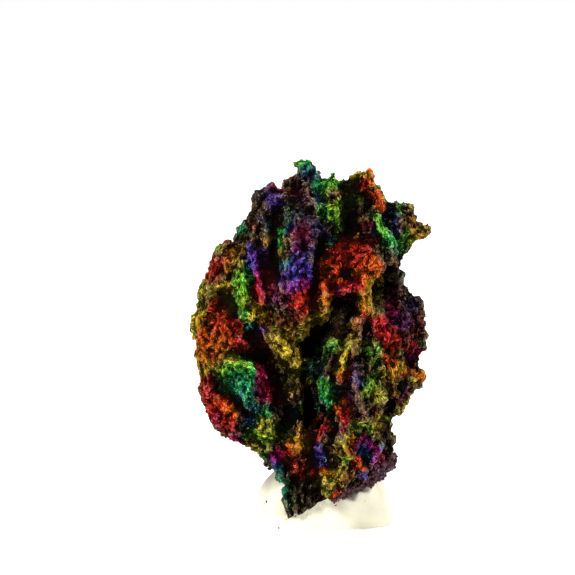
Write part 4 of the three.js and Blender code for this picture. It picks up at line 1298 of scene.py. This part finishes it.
def rim_needles(name, seed):
    """Needles laid along every stroke that raises a ridge."""
    dice = np.random.default_rng(seed)
    root, normal, point, comb, glint = [], [], [], [], []
    for _, points, _, height, _ in STROKES:
        if height <= 0:
            continue
        for start, end in zip(points, points[1:]):
            run = np.array(end) - start
            for share in np.arange(0, 1, RIM_STEP / np.linalg.norm(run)):
                across, up = start + run * share + dice.normal(0, RIM_STRAY, 2)
                place, facing, face, _ = dropped(across, up, stone_tree)
                if place is None:
                    continue
                root.append(place)
                normal.append(facing)
                point.append(stone_triangles[face, 0])
                comb.append(in_space(*run))
                glint.append([RIM_GLINT * min(height, FULL_RIDGE)])
    comb = unit(np.array(comb)) + dice.normal(0, RIM_SPREAD, (len(comb), 3))
    root, normal = np.array(root), np.array(normal)
    return needles(name, STRAND, root, normal, np.array(point), comb, np.array(glint), dice)


felt.append(rim_needles("goethite_rims", 105))

# %% [markdown]
# ## The druse
#
# Under the right side runs an arch of bare stone with no felt. Small dark crystals stand on it,
# and their flat faces flash. Each is a square post with a pointed end and its foot in the stone,
# and they crowd along a line drawn as the ridges are.

# %% Stand crystals on the arch
# points (across, up) in millimetres
DRUSE_LINE = [(15.4, 12), (13.4, 9.6), (9.8, 7), (5.5, 4.4)]
DRUSE_REACH = 1.15
# how sharply the druse ends at its reach
DRUSE_EDGE = 4
CRYSTALS = 560
LEAN = 0.45
POST_WIDTHS = (0.14, 0.42)
POST_LENGTHS = (0.4, 1)
POST_FOOT, POST_SHOULDER = -0.3, 0.7

# a post's points are a square foot, a square shoulder and a tip
SQUARE = [(0, 1), (1, 2), (2, 3), (3, 0)]
SHOULDER, TIP = 4, 8
POST_FACES = [(this, following, SHOULDER + following) for this, following in SQUARE]
POST_FACES += [(this, SHOULDER + following, SHOULDER + this) for this, following in SQUARE]
POST_FACES += [(SHOULDER + this, SHOULDER + following, TIP) for this, following in SQUARE]
POST_FACES += [(0, 2, 1), (0, 3, 2)]


def druse(name, seed):
    """Square posts with pointed ends, crowded along the druse line."""
    dice = np.random.default_rng(seed)
    middles = stone_places[stone_triangles].mean(axis=1)
    gaps = gap_to_line(seen_flat(middles / MM), DRUSE_LINE)
    near = np.exp(-(gaps / DRUSE_REACH) ** DRUSE_EDGE) * seen[stone_triangles[:, 0]]
    chosen = random_triangles(near, CRYSTALS, dice)
    foot = stone_places[chosen].mean(axis=1)
    normal = unit(stone_facings[chosen[:, 0]] + dice.normal(0, LEAN, (CRYSTALS, 3)))
    across = unit(np.cross(normal, dice.normal(size=(CRYSTALS, 3))))
    beside = np.cross(normal, across)
    width = MM * dice.uniform(*POST_WIDTHS, CRYSTALS)[:, None]
    length = MM * dice.uniform(*POST_LENGTHS, CRYSTALS)[:, None]
    rows = []
    for level in (POST_FOOT, POST_SHOULDER):
        for side in range(len(SQUARE)):
            angle = 2 * math.pi * side / len(SQUARE)
            out = across * math.cos(angle) + beside * math.sin(angle)
            rows.append(foot + out * width + normal * length * level)
    rows.append(foot + normal * length)
    return joined(name, np.stack(rows, axis=1), np.array(POST_FACES))


crystals = druse("goethite_druse", 106)

# %% [markdown]
# ## The putty
#
# Mounting putty is soft, and thumbs have pressed this lump round the foot. It has broad shallow
# dents, soft corners and a thin line from a knife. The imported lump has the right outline, so an
# even grid goes over it as it did over the stone, and two nudges trim its ends. Where it touches
# the stone it clings, so points close to the stone are drawn on to it, and then eased, since
# putty bridges the fine pores. The underside rests on the table and stays flat.

# %% Press the putty
PUTTY_GRID = 0.3 * MM
PUTTY_ROUNDS = 6
PUTTY_NUDGES = [
    ("left end", (-8.8, 4.5), 3.6, (-1.6, 0)),
    ("right end", (14.5, 6), 4, (-0.4, 0.6)),
]
# each is how strong in millimetres, its size in millimetres, its seed
DENTS = [(0.22, 6, 20), (0.12, 2.4, 21), (0.05, 0.9, 22)]
DENT_INSET = 0.15
# in millimetres: places (x, y, z)
KNIFE_LINE = [(5.6, -9.5, 3.9), (6.6, -9.4, 3.3), (7.8, -9.2, 2.7)]
KNIFE_WIDTH = 0.22
KNIFE_DEPTH = 0.25

putty = grid_skin("putty_lump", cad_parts["putty"].data, PUTTY_GRID, PUTTY_ROUNDS)
putty_spots = nudged(places_of(putty.data) / MM, PUTTY_NUDGES)
putty_spots[:, 2] = np.maximum(putty_spots[:, 2], 0)
move_to(putty.data, putty_spots * MM)
dents = sum(layer(lumps, putty_spots, dent) for dent in DENTS)
for ends in zip(KNIFE_LINE, KNIFE_LINE[1:]):
    dents -= KNIFE_DEPTH * bell(gap_to_run(putty_spots, *ends) / KNIFE_WIDTH)
push(putty, (dents - DENT_INSET) * np.clip(putty_spots[:, 2], 0, 1) * MM)
print("dents from", dents.min().round(2), "to", dents.max().round(2), "mm")

# %% Draw the putty on to the stone
HUG_REACH = 2.4 * MM
HUG_ROUNDS = 4
EASE_ROUNDS = 9
FLAT_HEIGHT = 0.6
SOIL_REACH = 0.9 * MM


def nearest_stone(places):
    """For each place, the nearest place on the stone and how far it is."""
    found = [stone_tree.find_nearest(Vector(place)) for place in places]
    return np.array([hit[0] for hit in found]), np.array([hit[3] for hit in found])


def off_table(places):
    """0 for places on the table or close to it, and 1 for those more than a little above it."""
    return np.clip(places[:, 2] / MM - FLAT_HEIGHT, 0, 1)


for _ in range(HUG_ROUNDS):
    now = places_of(putty.data)
    contact, gaps = nearest_stone(now)
    pull = np.clip(1 - gaps / HUG_REACH, 0, 1) * off_table(now)
    move_to(putty.data, now + (contact - now) * pull[:, None])
putty_edges = edge_pairs(putty.data)
for _ in range(EASE_ROUNDS):
    now = places_of(putty.data)
    eased = neighbour_mean(now, putty_edges)
    move_to(putty.data, now + (eased - now) * off_table(now)[:, None])
_, gaps = nearest_stone(places_of(putty.data))
soiled = putty.data.attributes.new("soil", "FLOAT", "POINT")
soiled.data.foreach_set("value", np.exp(-gaps / SOIL_REACH))
print("the putty lies", (gaps.mean() / MM).round(1), "mm from the stone on average")

# %% [markdown]
# ## Crumbs and dust
#
# Some of the stone has come off on the putty: a few dark crumbs at places that are plain to see,
# and coloured dust round the foot. All of them are small rough lumps in one mesh. Crumbs are
# dropped along the line of sight, and dust falls at random where stone is near.

# %% Scatter the crumbs and the dust
# place (across, up) and size, all in millimetres
CRUMBS = [
    ((-9.6, 8.0), 0.34), ((-8.4, 3.7), 0.3), ((-6.0, -1.0), 0.24), ((-10.3, 8.2), 0.15),
    ((-8.8, 3.1), 0.14), ((-7.2, 3.9), 0.14), ((4.9, 3.3), 0.18), ((10.5, 4.1), 0.12),
]
# how open, how high and how bright: as dark as stone in a hollow
CRUMB_RELIEF = (0.3, 0.5, 0.5)
DUST = 90
DUST_NEAR = 1.6 * MM
DUST_HEIGHT = 0.5 * MM
DUST_SIZES = (0.04, 0.09)
ROUGH_RANGE = (0.6, 1.2)
SPIN = 0.25
LUMP_POINTS = np.array([(1, 0, 0), (0, 1, 0), (-1, 0, 0), (0, -1, 0), (0, 0, 1), (0, 0, -1)])
LUMP_TOP, LUMP_BOTTOM = 4, 5
LUMP_FACES = [(this, following, LUMP_TOP) for this, following in SQUARE]
LUMP_FACES += [(following, this, LUMP_BOTTOM) for this, following in SQUARE]


def crumbs(name, seed):
    """Rough eight-sided lumps on the putty."""
    dice = np.random.default_rng(seed)
    skin = places_of(putty.data)
    tree = tree_of(skin, corners(putty.data))
    spots, sizes = [], []
    for (across, up), size in CRUMBS:
        place = dropped(across, up, tree)[0]
        if place is not None:
            spots.append(place)
            sizes.append(size * MM)
    big = len(spots)
    while len(spots) < big + DUST:
        place = Vector(skin[dice.integers(len(skin))])
        reach = stone_tree.find_nearest(place)[3]
        if place.z > DUST_HEIGHT and reach < DUST_NEAR * dice.random():
            spots.append(place)
            sizes.append(dice.uniform(*DUST_SIZES) * MM)
    spots, sizes = np.array(spots), np.array(sizes)
    rough = dice.uniform(*ROUGH_RANGE, (len(spots), len(LUMP_POINTS), 1))
    spin = dice.normal(0, SPIN, (len(spots), len(LUMP_POINTS), 3))
    shape = spots[:, None] + (LUMP_POINTS + spin) * rough * sizes[:, None, None]
    piece = joined(name, shape, np.array(LUMP_FACES))
    relief = np.ones(shape.shape)
    relief[:big] = CRUMB_RELIEF
    film = np.repeat(film_at(spots, np.ones(len(spots))), len(LUMP_POINTS), axis=0)
    dress(piece.data, film, relief.reshape(-1, 3))
    return piece


bits = crumbs("putty_crumbs", 107)

# %% [markdown]
# ## Shader maths as plain expressions
#
# A material is a graph of nodes. Written one node and one link at a time, its sums are hard to
# read, so a small class wraps a socket: adding or multiplying two of them makes the Math node.
# Every other node comes from one method, which takes its type, its settings and its inputs.

# %% Sockets that can be added and multiplied
class Value:
    """A node's output that can stand in a sum."""

    def __init__(self, finish, socket):
        self.finish = finish
        self.socket = socket

    def maths(self, operation, first, second=0):
        """The output of a Math node."""
        settings = {"operation": operation}
        return self.finish.add("ShaderNodeMath", settings, {0: first, 1: second}, 0)

    def __add__(self, other):
        return self.maths("ADD", self, other)

    def __radd__(self, other):
        return self.maths("ADD", other, self)

    def __sub__(self, other):
        return self.maths("SUBTRACT", self, other)

    def __rsub__(self, other):
        return self.maths("SUBTRACT", other, self)

    def __mul__(self, other):
        return self.maths("MULTIPLY", self, other)

    def __rmul__(self, other):
        return self.maths("MULTIPLY", other, self)

    def __truediv__(self, other):
        return self.maths("DIVIDE", self, other)

    def __pow__(self, other):
        return self.maths("POWER", self, other)

    def clipped(self):
        """The value held between 0 and 1."""
        return self.maths("MINIMUM", self.maths("MAXIMUM", self, 0), 1)


# %% A material that grows node by node
class Finish:
    """One material, with the nodes that most of its parts share."""

    def __init__(self, name):
        self.material = bpy.data.materials.new(name)
        self.material.use_nodes = True
        self.tree = self.material.node_tree
        self.surface = self.tree.nodes["Principled BSDF"]
        self.place = self.add("ShaderNodeTexCoord", {}, {}, "Object")

    def set(self, socket, value):
        """Sets a socket to a number or a colour, or links a value to it."""
        if isinstance(value, Value):
            self.tree.links.new(value.socket, socket)
        else:
            socket.default_value = value

    def add(self, kind, settings, inputs, output):
        """Adds a node, with its settings first, and gives one of its outputs."""
        node = self.tree.nodes.new(kind)
        for name, setting in settings.items():
            if name == "stops":
                self.stops(node.color_ramp.elements, setting)
            else:
                setattr(node, name, setting)
        for name, value in inputs.items():
            self.set(node.inputs[name], value)
        return Value(self, node.outputs[output])

    def stops(self, marks, setting):
        """Puts a ramp's colours at their places."""
        while len(marks) < len(setting):
            marks.new(1)
        for mark, (place, colour) in zip(marks, setting):
            mark.position = place
            mark.color = colour

    def blend(self, share, low, high):
        """Two colours mixed by a share."""
        return self.add("ShaderNodeMix", {"data_type": "RGBA"}, {0: share, 6: low, 7: high}, 2)

    def brighter(self, tint, times):
        """A colour this many times as bright."""
        settings = {"operation": "SCALE"}
        return self.add("ShaderNodeVectorMath", settings, {0: tint, "Scale": times}, "Vector")

    def kept(self, name, output):
        """What a mesh keeps on its points under this name."""
        return self.add("ShaderNodeAttribute", {"attribute_name": name}, {}, output)

    def part(self, arrow, axis):
        """One of an arrow's three numbers."""
        return self.add("ShaderNodeSeparateXYZ", {}, {0: arrow}, axis)

    def noise(self, per_mm, detail=2):
        """Noise from 0 to 1, with this many lumps to a millimetre."""
        inputs = {"Vector": self.place, "Scale": per_mm / MM, "Detail": detail}
        return self.add("ShaderNodeTexNoise", {}, inputs, "Fac")

    def bump(self, strength, depth, height):
        """A surface's normal, made rough by a height."""
        inputs = {"Strength": strength, "Distance": depth, "Height": height}
        return self.add("ShaderNodeBump", {}, inputs, "Normal")

    def show(self, **sockets):
        """Feeds the surface: Base_Color=... goes to its Base Color."""
        for name, value in sockets.items():
            self.set(self.surface.inputs[name.replace("_", " ")], value)


def colour(text):
    """A screen colour such as "c08040" as the linear colour that nodes take."""
    # the numbers are those of every screen's standard curve
    parts = [int(text[at:at + 2], 16) / 255 for at in (0, 2, 4)]
    linear = [part / 12.92 if part <= 0.04045 else ((part + 0.055) / 1.055) ** 2.4 for part in parts]
    return (*linear, 1)


print("middle grey on the screen is", round(colour("808080")[0], 3), "as light")

# %% [markdown]
# ## The stone's finish
#
# The film arrow's direction picks the hue from a ramp that closes on itself. A little noise on
# the turn makes each needle differ, as the film's thickness does. Where the arrow is short the
# bare oxide shows brown-black, painted tan as a highlight where it stands high. Painted shade
# takes deep skin to black, and the brightness kept on each point paints shade into the pores and
# the clefts and a highlight on the crests, with a painted pale glint on the brightest. The film
# lies on a dark metallic oxide, so the vivid parts are more metallic than the bare ones.

# %% Name the stone's colours
FULL_TURN = 1
FILM_STOPS = [
    (GOLD, colour("c8aa46")),
    (YELLOW, colour("c8b41e")),
    (ORANGE, colour("e07408")),
    (RED, colour("d22c05")),
    (CRIMSON, colour("bc0c28")),
    (MAGENTA, colour("ac1279")),
    (VIOLET, colour("5c2aa0")),
    (BLUE, colour("1c3c9c")),
    (TEAL, colour("0f8c96")),
    (GREEN, colour("14b450")),
    (LIME, colour("82be1e")),
    (FULL_TURN, colour("c8aa46")),
]
BARE = colour("28170e")
# a painted highlight: the tan of high skin, needle tips and the brightest needles
TAN_HIGHLIGHT = colour("8e7450")
# the colour of a painted glint
PALE = colour("f0dfc0")
# painted shade: the black of clefts, pores and the skin under the felt
SHADE_BLACK = colour("050302")
print("the film's ramp has", len(FILM_STOPS), "colours")

# %% Make the stone's finish
# lumps of noise to a millimetre
PATCHES, GRAINS, DIMPLES = 0.9, 5, 4
DIMPLE_STRENGTH, DIMPLE_DEPTH = 0.5, 0.12 * MM
# what shifts the hue, in turns of the wheel
PATCH_TURN, BRIGHT_TURN = 0.2, 0.03
# each has a slope, what is taken off, and how far the grain shifts it
VIVID_SLOPE, VIVID_START, VIVID_GRAIN = 2.15, 0.36, 0.3
# the painted tan highlight on high skin and needle tips
TAN_HIGHLIGHT_SLOPE, TAN_HIGHLIGHT_START, TAN_HIGHLIGHT_GRAIN = 1.3, 0.6, 0.6
EDGE_SLOPE, EDGE_START, EDGE_GRAIN = 2.2, 0.72, 0.5
EDGE_BRIGHT, EDGE_SHARE = 0.7, 0.2
METAL_SLOPE, LEAST_METAL = 0.65, 0.15
ROUGH, ROUGH_GRAIN, BARE_ROUGH, SUNKEN_ROUGH = 0.42, 0.35, 0.12, 0.3
# painted light and shade: the colour brightens with how open and how high a point is
OPEN_SLOPE, OPEN_START = 2.1, 0.25
LOW_LIGHT, HIGH_LIGHT, HIGH_POWER = 0.01, 2.1, 2.6
DIM_LIGHT = 0.12
# a painted glint: the brightest skin is painted brighter and paler
GLINT_SLOPE, GLINT_START = 0.5, 0.8
GLINT, GLINT_PALE = 1.1, 0.07
LEAST_SHINE = 0.06
# painted shade on the skin under the felt
FELT_SHADE = 0.85


def stone_finish(name, felt_shade):
    """The film over bare oxide, with painted shade that darkens the skin under the needles."""
    finish = Finish(name)
    film = finish.kept("film", "Vector")
    relief = finish.kept("relief", "Vector")
    across, along = [finish.part(film, axis) for axis in "XY"]
    opening, height, bright = [finish.part(relief, axis) for axis in "XYZ"]
    patchy = finish.noise(PATCHES) - 0.5
    grain = finish.noise(GRAINS, detail=3) - 0.5

    turn = across.maths("ARCTAN2", along, across) / (2 * math.pi)
    turn = turn + patchy * PATCH_TURN + bright * BRIGHT_TURN + 1
    hue = turn.maths("FRACT", turn)
    tint = finish.add("ShaderNodeValToRGB", {"stops": FILM_STOPS}, {"Fac": hue}, "Color")
    vivid = (across * across + along * along) ** 0.5
    vivid = ((vivid + grain * VIVID_GRAIN) * VIVID_SLOPE - VIVID_START).clipped()

    # painted highlight: bare oxide is painted tan where it stands high, and stays brown-black where low
    tan_highlight = (height * TAN_HIGHLIGHT_SLOPE - TAN_HIGHLIGHT_START + grain * TAN_HIGHLIGHT_GRAIN).clipped()
    skin = finish.blend(vivid, finish.blend(tan_highlight, BARE, TAN_HIGHLIGHT), tint)
    # painted highlight: the highest and brightest needles are painted towards tan
    edge = (height - EDGE_START) * EDGE_SLOPE + (bright - 1) * EDGE_BRIGHT + grain * EDGE_GRAIN
    skin = finish.blend(edge.clipped() * EDGE_SHARE, skin, TAN_HIGHLIGHT)

    # painted light and shade: dark in clefts and pores, bright on crests and needle tips
    light = (opening * OPEN_SLOPE - OPEN_START).clipped() * (LOW_LIGHT + height ** HIGH_POWER * HIGH_LIGHT)
    light = (light + DIM_LIGHT) * bright
    # a painted glint on the brightest skin
    glint = ((light - GLINT_START) * GLINT_SLOPE * (1 - felt_shade)).clipped()
    skin = finish.brighter(skin, 1 + glint * GLINT)
    skin = finish.blend(glint * GLINT_PALE, skin, PALE)
    rough = ROUGH + grain * ROUGH_GRAIN + (1 - vivid) * BARE_ROUGH + felt_shade * SUNKEN_ROUGH
    finish.show(
        # painted shade: the skin goes to black where its painted light is low
        Base_Color=finish.blend((light * (1 - felt_shade)).clipped(), SHADE_BLACK, skin),
        Metallic=(vivid * METAL_SLOPE + LEAST_METAL).clipped() * (1 - felt_shade),
        Roughness=rough.clipped(),
        Specular_IOR_Level=LEAST_SHINE * (1 - felt_shade),
        Normal=finish.bump(DIMPLE_STRENGTH, DIMPLE_DEPTH, finish.noise(DIMPLES, detail=4)),
    )
    print(name, "has", len(finish.tree.nodes), "nodes")
    return finish.material


stone.data.materials.append(stone_finish("tarnished oxide", FELT_SHADE))
needle_oxide = stone_finish("tarnished needles", 0)
for sheet in [*felt, bits]:
    sheet.data.materials.append(needle_oxide)

# %% [markdown]
# ## The druse's finish
#
# The crystals are bare goethite: near black, with a violet cast and a bright polish.

# %% Make the druse's finish
DRUSE_DARK = colour("0c0506")
DRUSE_VIOLET = colour("641e2e")
DRUSE_SHINE = 0.22
# lumps of noise to a millimetre
CASTS, SCRATCHES = 4, 6
CAST_SLOPE, CAST_START = 6, 0.48
SCRATCH_STRENGTH, SCRATCH_DEPTH = 0.2, 0.05 * MM
POLISH, POLISH_SPREAD = 0.05, 0.25


def druse_finish():
    """Polished dark crystal, violet in places."""
    finish = Finish("druse")
    cast = finish.noise(CASTS)
    finish.show(
        Base_Color=finish.blend(((cast - CAST_START) * CAST_SLOPE).clipped(), DRUSE_DARK, DRUSE_VIOLET),
        Roughness=POLISH + cast * POLISH_SPREAD,
        Specular_IOR_Level=DRUSE_SHINE,
        Normal=finish.bump(SCRATCH_STRENGTH, SCRATCH_DEPTH, finish.noise(SCRATCHES)),
    )
    print("the druse's finish has", len(finish.tree.nodes), "nodes")
    return finish.material


crystals.data.materials.append(druse_finish())

# %% [markdown]
# ## The putty's finish
#
# Fresh putty is a warm off-white and nearly matte. Fingers leave it faintly grey and shiny in
# patches, and dust from the stone sticks near the foot.

# %% Make the putty's finish
CREAM = colour("e4dfc8")
GREYED = colour("d3cbab")
DIRT = colour("7c7460")
# lumps of noise to a millimetre
FINGER_MARKS, SPECKS, PRINTS = 0.25, 3, 1.6
PRINT_STRENGTH, PRINT_DEPTH = 0.35, 0.1 * MM
FINGERED_SLOPE, FINGERED_START, FINGERED_SPECKS = 2, 0.45, 0.4
DIRT_SLOPE, DIRT_START, DIRT_SPECKS, DIRT_SHARE = 1.3, 0.35, 1.2, 0.6
MATTE, MATTE_SPREAD = 0.5, 0.25
MILKY_SHARE, MILKY_DEPTH = 0.15, 1.5 * MM


def putty_finish():
    """Soft off-white with fingered patches."""
    finish = Finish("mounting putty")
    patches = finish.noise(FINGER_MARKS, detail=3)
    specks = finish.noise(SPECKS) - 0.5
    foot = finish.kept("soil", "Fac")
    fingered = ((patches - FINGERED_START) * FINGERED_SLOPE + specks * FINGERED_SPECKS).clipped()
    dirt = (foot * DIRT_SLOPE + specks * DIRT_SPECKS - DIRT_START).clipped() * DIRT_SHARE
    finish.show(
        Base_Color=finish.blend(dirt, finish.blend(fingered, CREAM, GREYED), DIRT),
        Roughness=MATTE + patches * MATTE_SPREAD,
        Subsurface_Weight=MILKY_SHARE,
        Subsurface_Scale=MILKY_DEPTH,
        Normal=finish.bump(PRINT_STRENGTH, PRINT_DEPTH, finish.noise(PRINTS, detail=4)),
    )
    print("the putty's finish has", len(finish.tree.nodes), "nodes")
    return finish.material


putty.data.materials.append(putty_finish())

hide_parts("goethite")
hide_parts("putty")
total = 0
for piece in [stone, crystals, putty, bits, *felt]:
    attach(piece, "root")
    total += len(corners(piece.data))
print("triangles in all:", total)

# %% [markdown]
# ## Table, light and camera
#
# Small dark stones are shown on a white table in soft light. The main lamp stands high on the
# left, so the left faces shine and the right ones fall into shade. A weak lamp on the right
# keeps that shade readable, and one at the back lights the edges. The surroundings are white to
# look at but give little light, so the clefts stay black.

# %% Lay the table
TABLE_SIZE = 1.2
TABLE_GLOW = 0.3
TABLE_WHITE = colour("ffffff")
TABLE_CLOUD = colour("f6f6f4")
CLOUDS = 0.02
CLOUD_SHARE, GLOW_CLOUD_SHARE = 0.3, 0.1
TABLE_ROUGH, CLOUD_ROUGH = 0.6, 0.2

table_mesh = bpy.data.meshes.new("table")
half = TABLE_SIZE / 2
table_mesh.from_pydata(
    [(-half, -half, 0), (half, -half, 0), (half, half, 0), (-half, half, 0)], [], [(0, 1, 2, 3)]
)
table = bpy.data.objects.new("table", table_mesh)
bpy.context.collection.objects.link(table)
table_top = Finish("white table")
cloud = table_top.noise(CLOUDS)
table_top.show(
    Base_Color=table_top.blend(cloud * CLOUD_SHARE, TABLE_WHITE, TABLE_CLOUD),
    Roughness=TABLE_ROUGH + cloud * CLOUD_ROUGH,
    Emission_Color=table_top.blend(cloud * GLOW_CLOUD_SHARE, TABLE_WHITE, TABLE_CLOUD),
    Emission_Strength=TABLE_GLOW,
)
table_mesh.materials.append(table_top.material)
print("the table is", TABLE_SIZE, "m wide")

# %% Light it
# name, place and width in metres, watts
LAMPS = [
    ("key lamp", (-0.48, -0.46, 0.76), 0.34, 13.5),
    ("fill lamp", (0.70, -0.60, 0.40), 0.50, 4.2),
    ("back lamp", (0.50, 0.55, 0.75), 0.60, 9.0),
]
# half way up the stone
AIM = Vector((0, 0, 0.035))
ROOM_WHITE = (1, 1, 1, 1)
ROOM_LIGHT = 0.12


def turned(arrow):
    """The turn that points a lamp or a camera along an arrow."""
    return arrow.to_track_quat("-Z", "Y").to_euler()


for name, spot, size, watts in LAMPS:
    lamp = bpy.data.lights.new(name, "AREA")
    lamp.shape = "DISK"
    lamp.size = size
    lamp.energy = watts
    stand = bpy.data.objects.new(name, lamp)
    stand.location = spot
    stand.rotation_euler = turned(AIM - Vector(spot))
    bpy.context.collection.objects.link(stand)
    print(name, "of", watts, "W")

# %% Make the room white to look at
world = bpy.data.worlds.new("white room")
world.use_nodes = True
bpy.context.scene.world = world
links = world.node_tree.links
nodes = world.node_tree.nodes
glow = nodes["Background"]
glow.inputs["Color"].default_value = ROOM_WHITE
glow.inputs["Strength"].default_value = ROOM_LIGHT
backdrop = nodes.new("ShaderNodeBackground")
backdrop.inputs["Color"].default_value = ROOM_WHITE
ray = nodes.new("ShaderNodeLightPath")
choice = nodes.new("ShaderNodeMixShader")
links.new(ray.outputs["Is Camera Ray"], choice.inputs[0])
links.new(glow.outputs[0], choice.inputs[1])
links.new(backdrop.outputs[0], choice.inputs[2])
links.new(choice.outputs[0], nodes["World Output"].inputs["Surface"])
print("the room gives", ROOM_LIGHT, "of full white")

# %% Set the camera
FRAME_SIDE = 575
PIXEL = 0.195 * MM
# the pixel, across and down, that the middle of the foot falls on
FOOT_PIXEL = (310, 519)
STAND_BACK = 520 * MM

ahead = Vector(-TOWARD)
centre = Vector(((FRAME_SIDE / 2 - FOOT_PIXEL[0]) * PIXEL, 0, 0))
centre += Vector(UPWARD) * (FOOT_PIXEL[1] - FRAME_SIDE / 2) * PIXEL
lens = bpy.data.cameras.new("camera")
lens.angle = 2 * math.atan(FRAME_SIDE * PIXEL / 2 / STAND_BACK)
camera = bpy.data.objects.new("camera", lens)
camera.location = centre - ahead * STAND_BACK
camera.rotation_euler = turned(ahead)
bpy.context.collection.objects.link(camera)
bpy.context.scene.camera = camera
bpy.context.scene.view_settings.view_transform = "Standard"
print("the camera's view is", round(math.degrees(lens.angle), 1), "degrees wide")
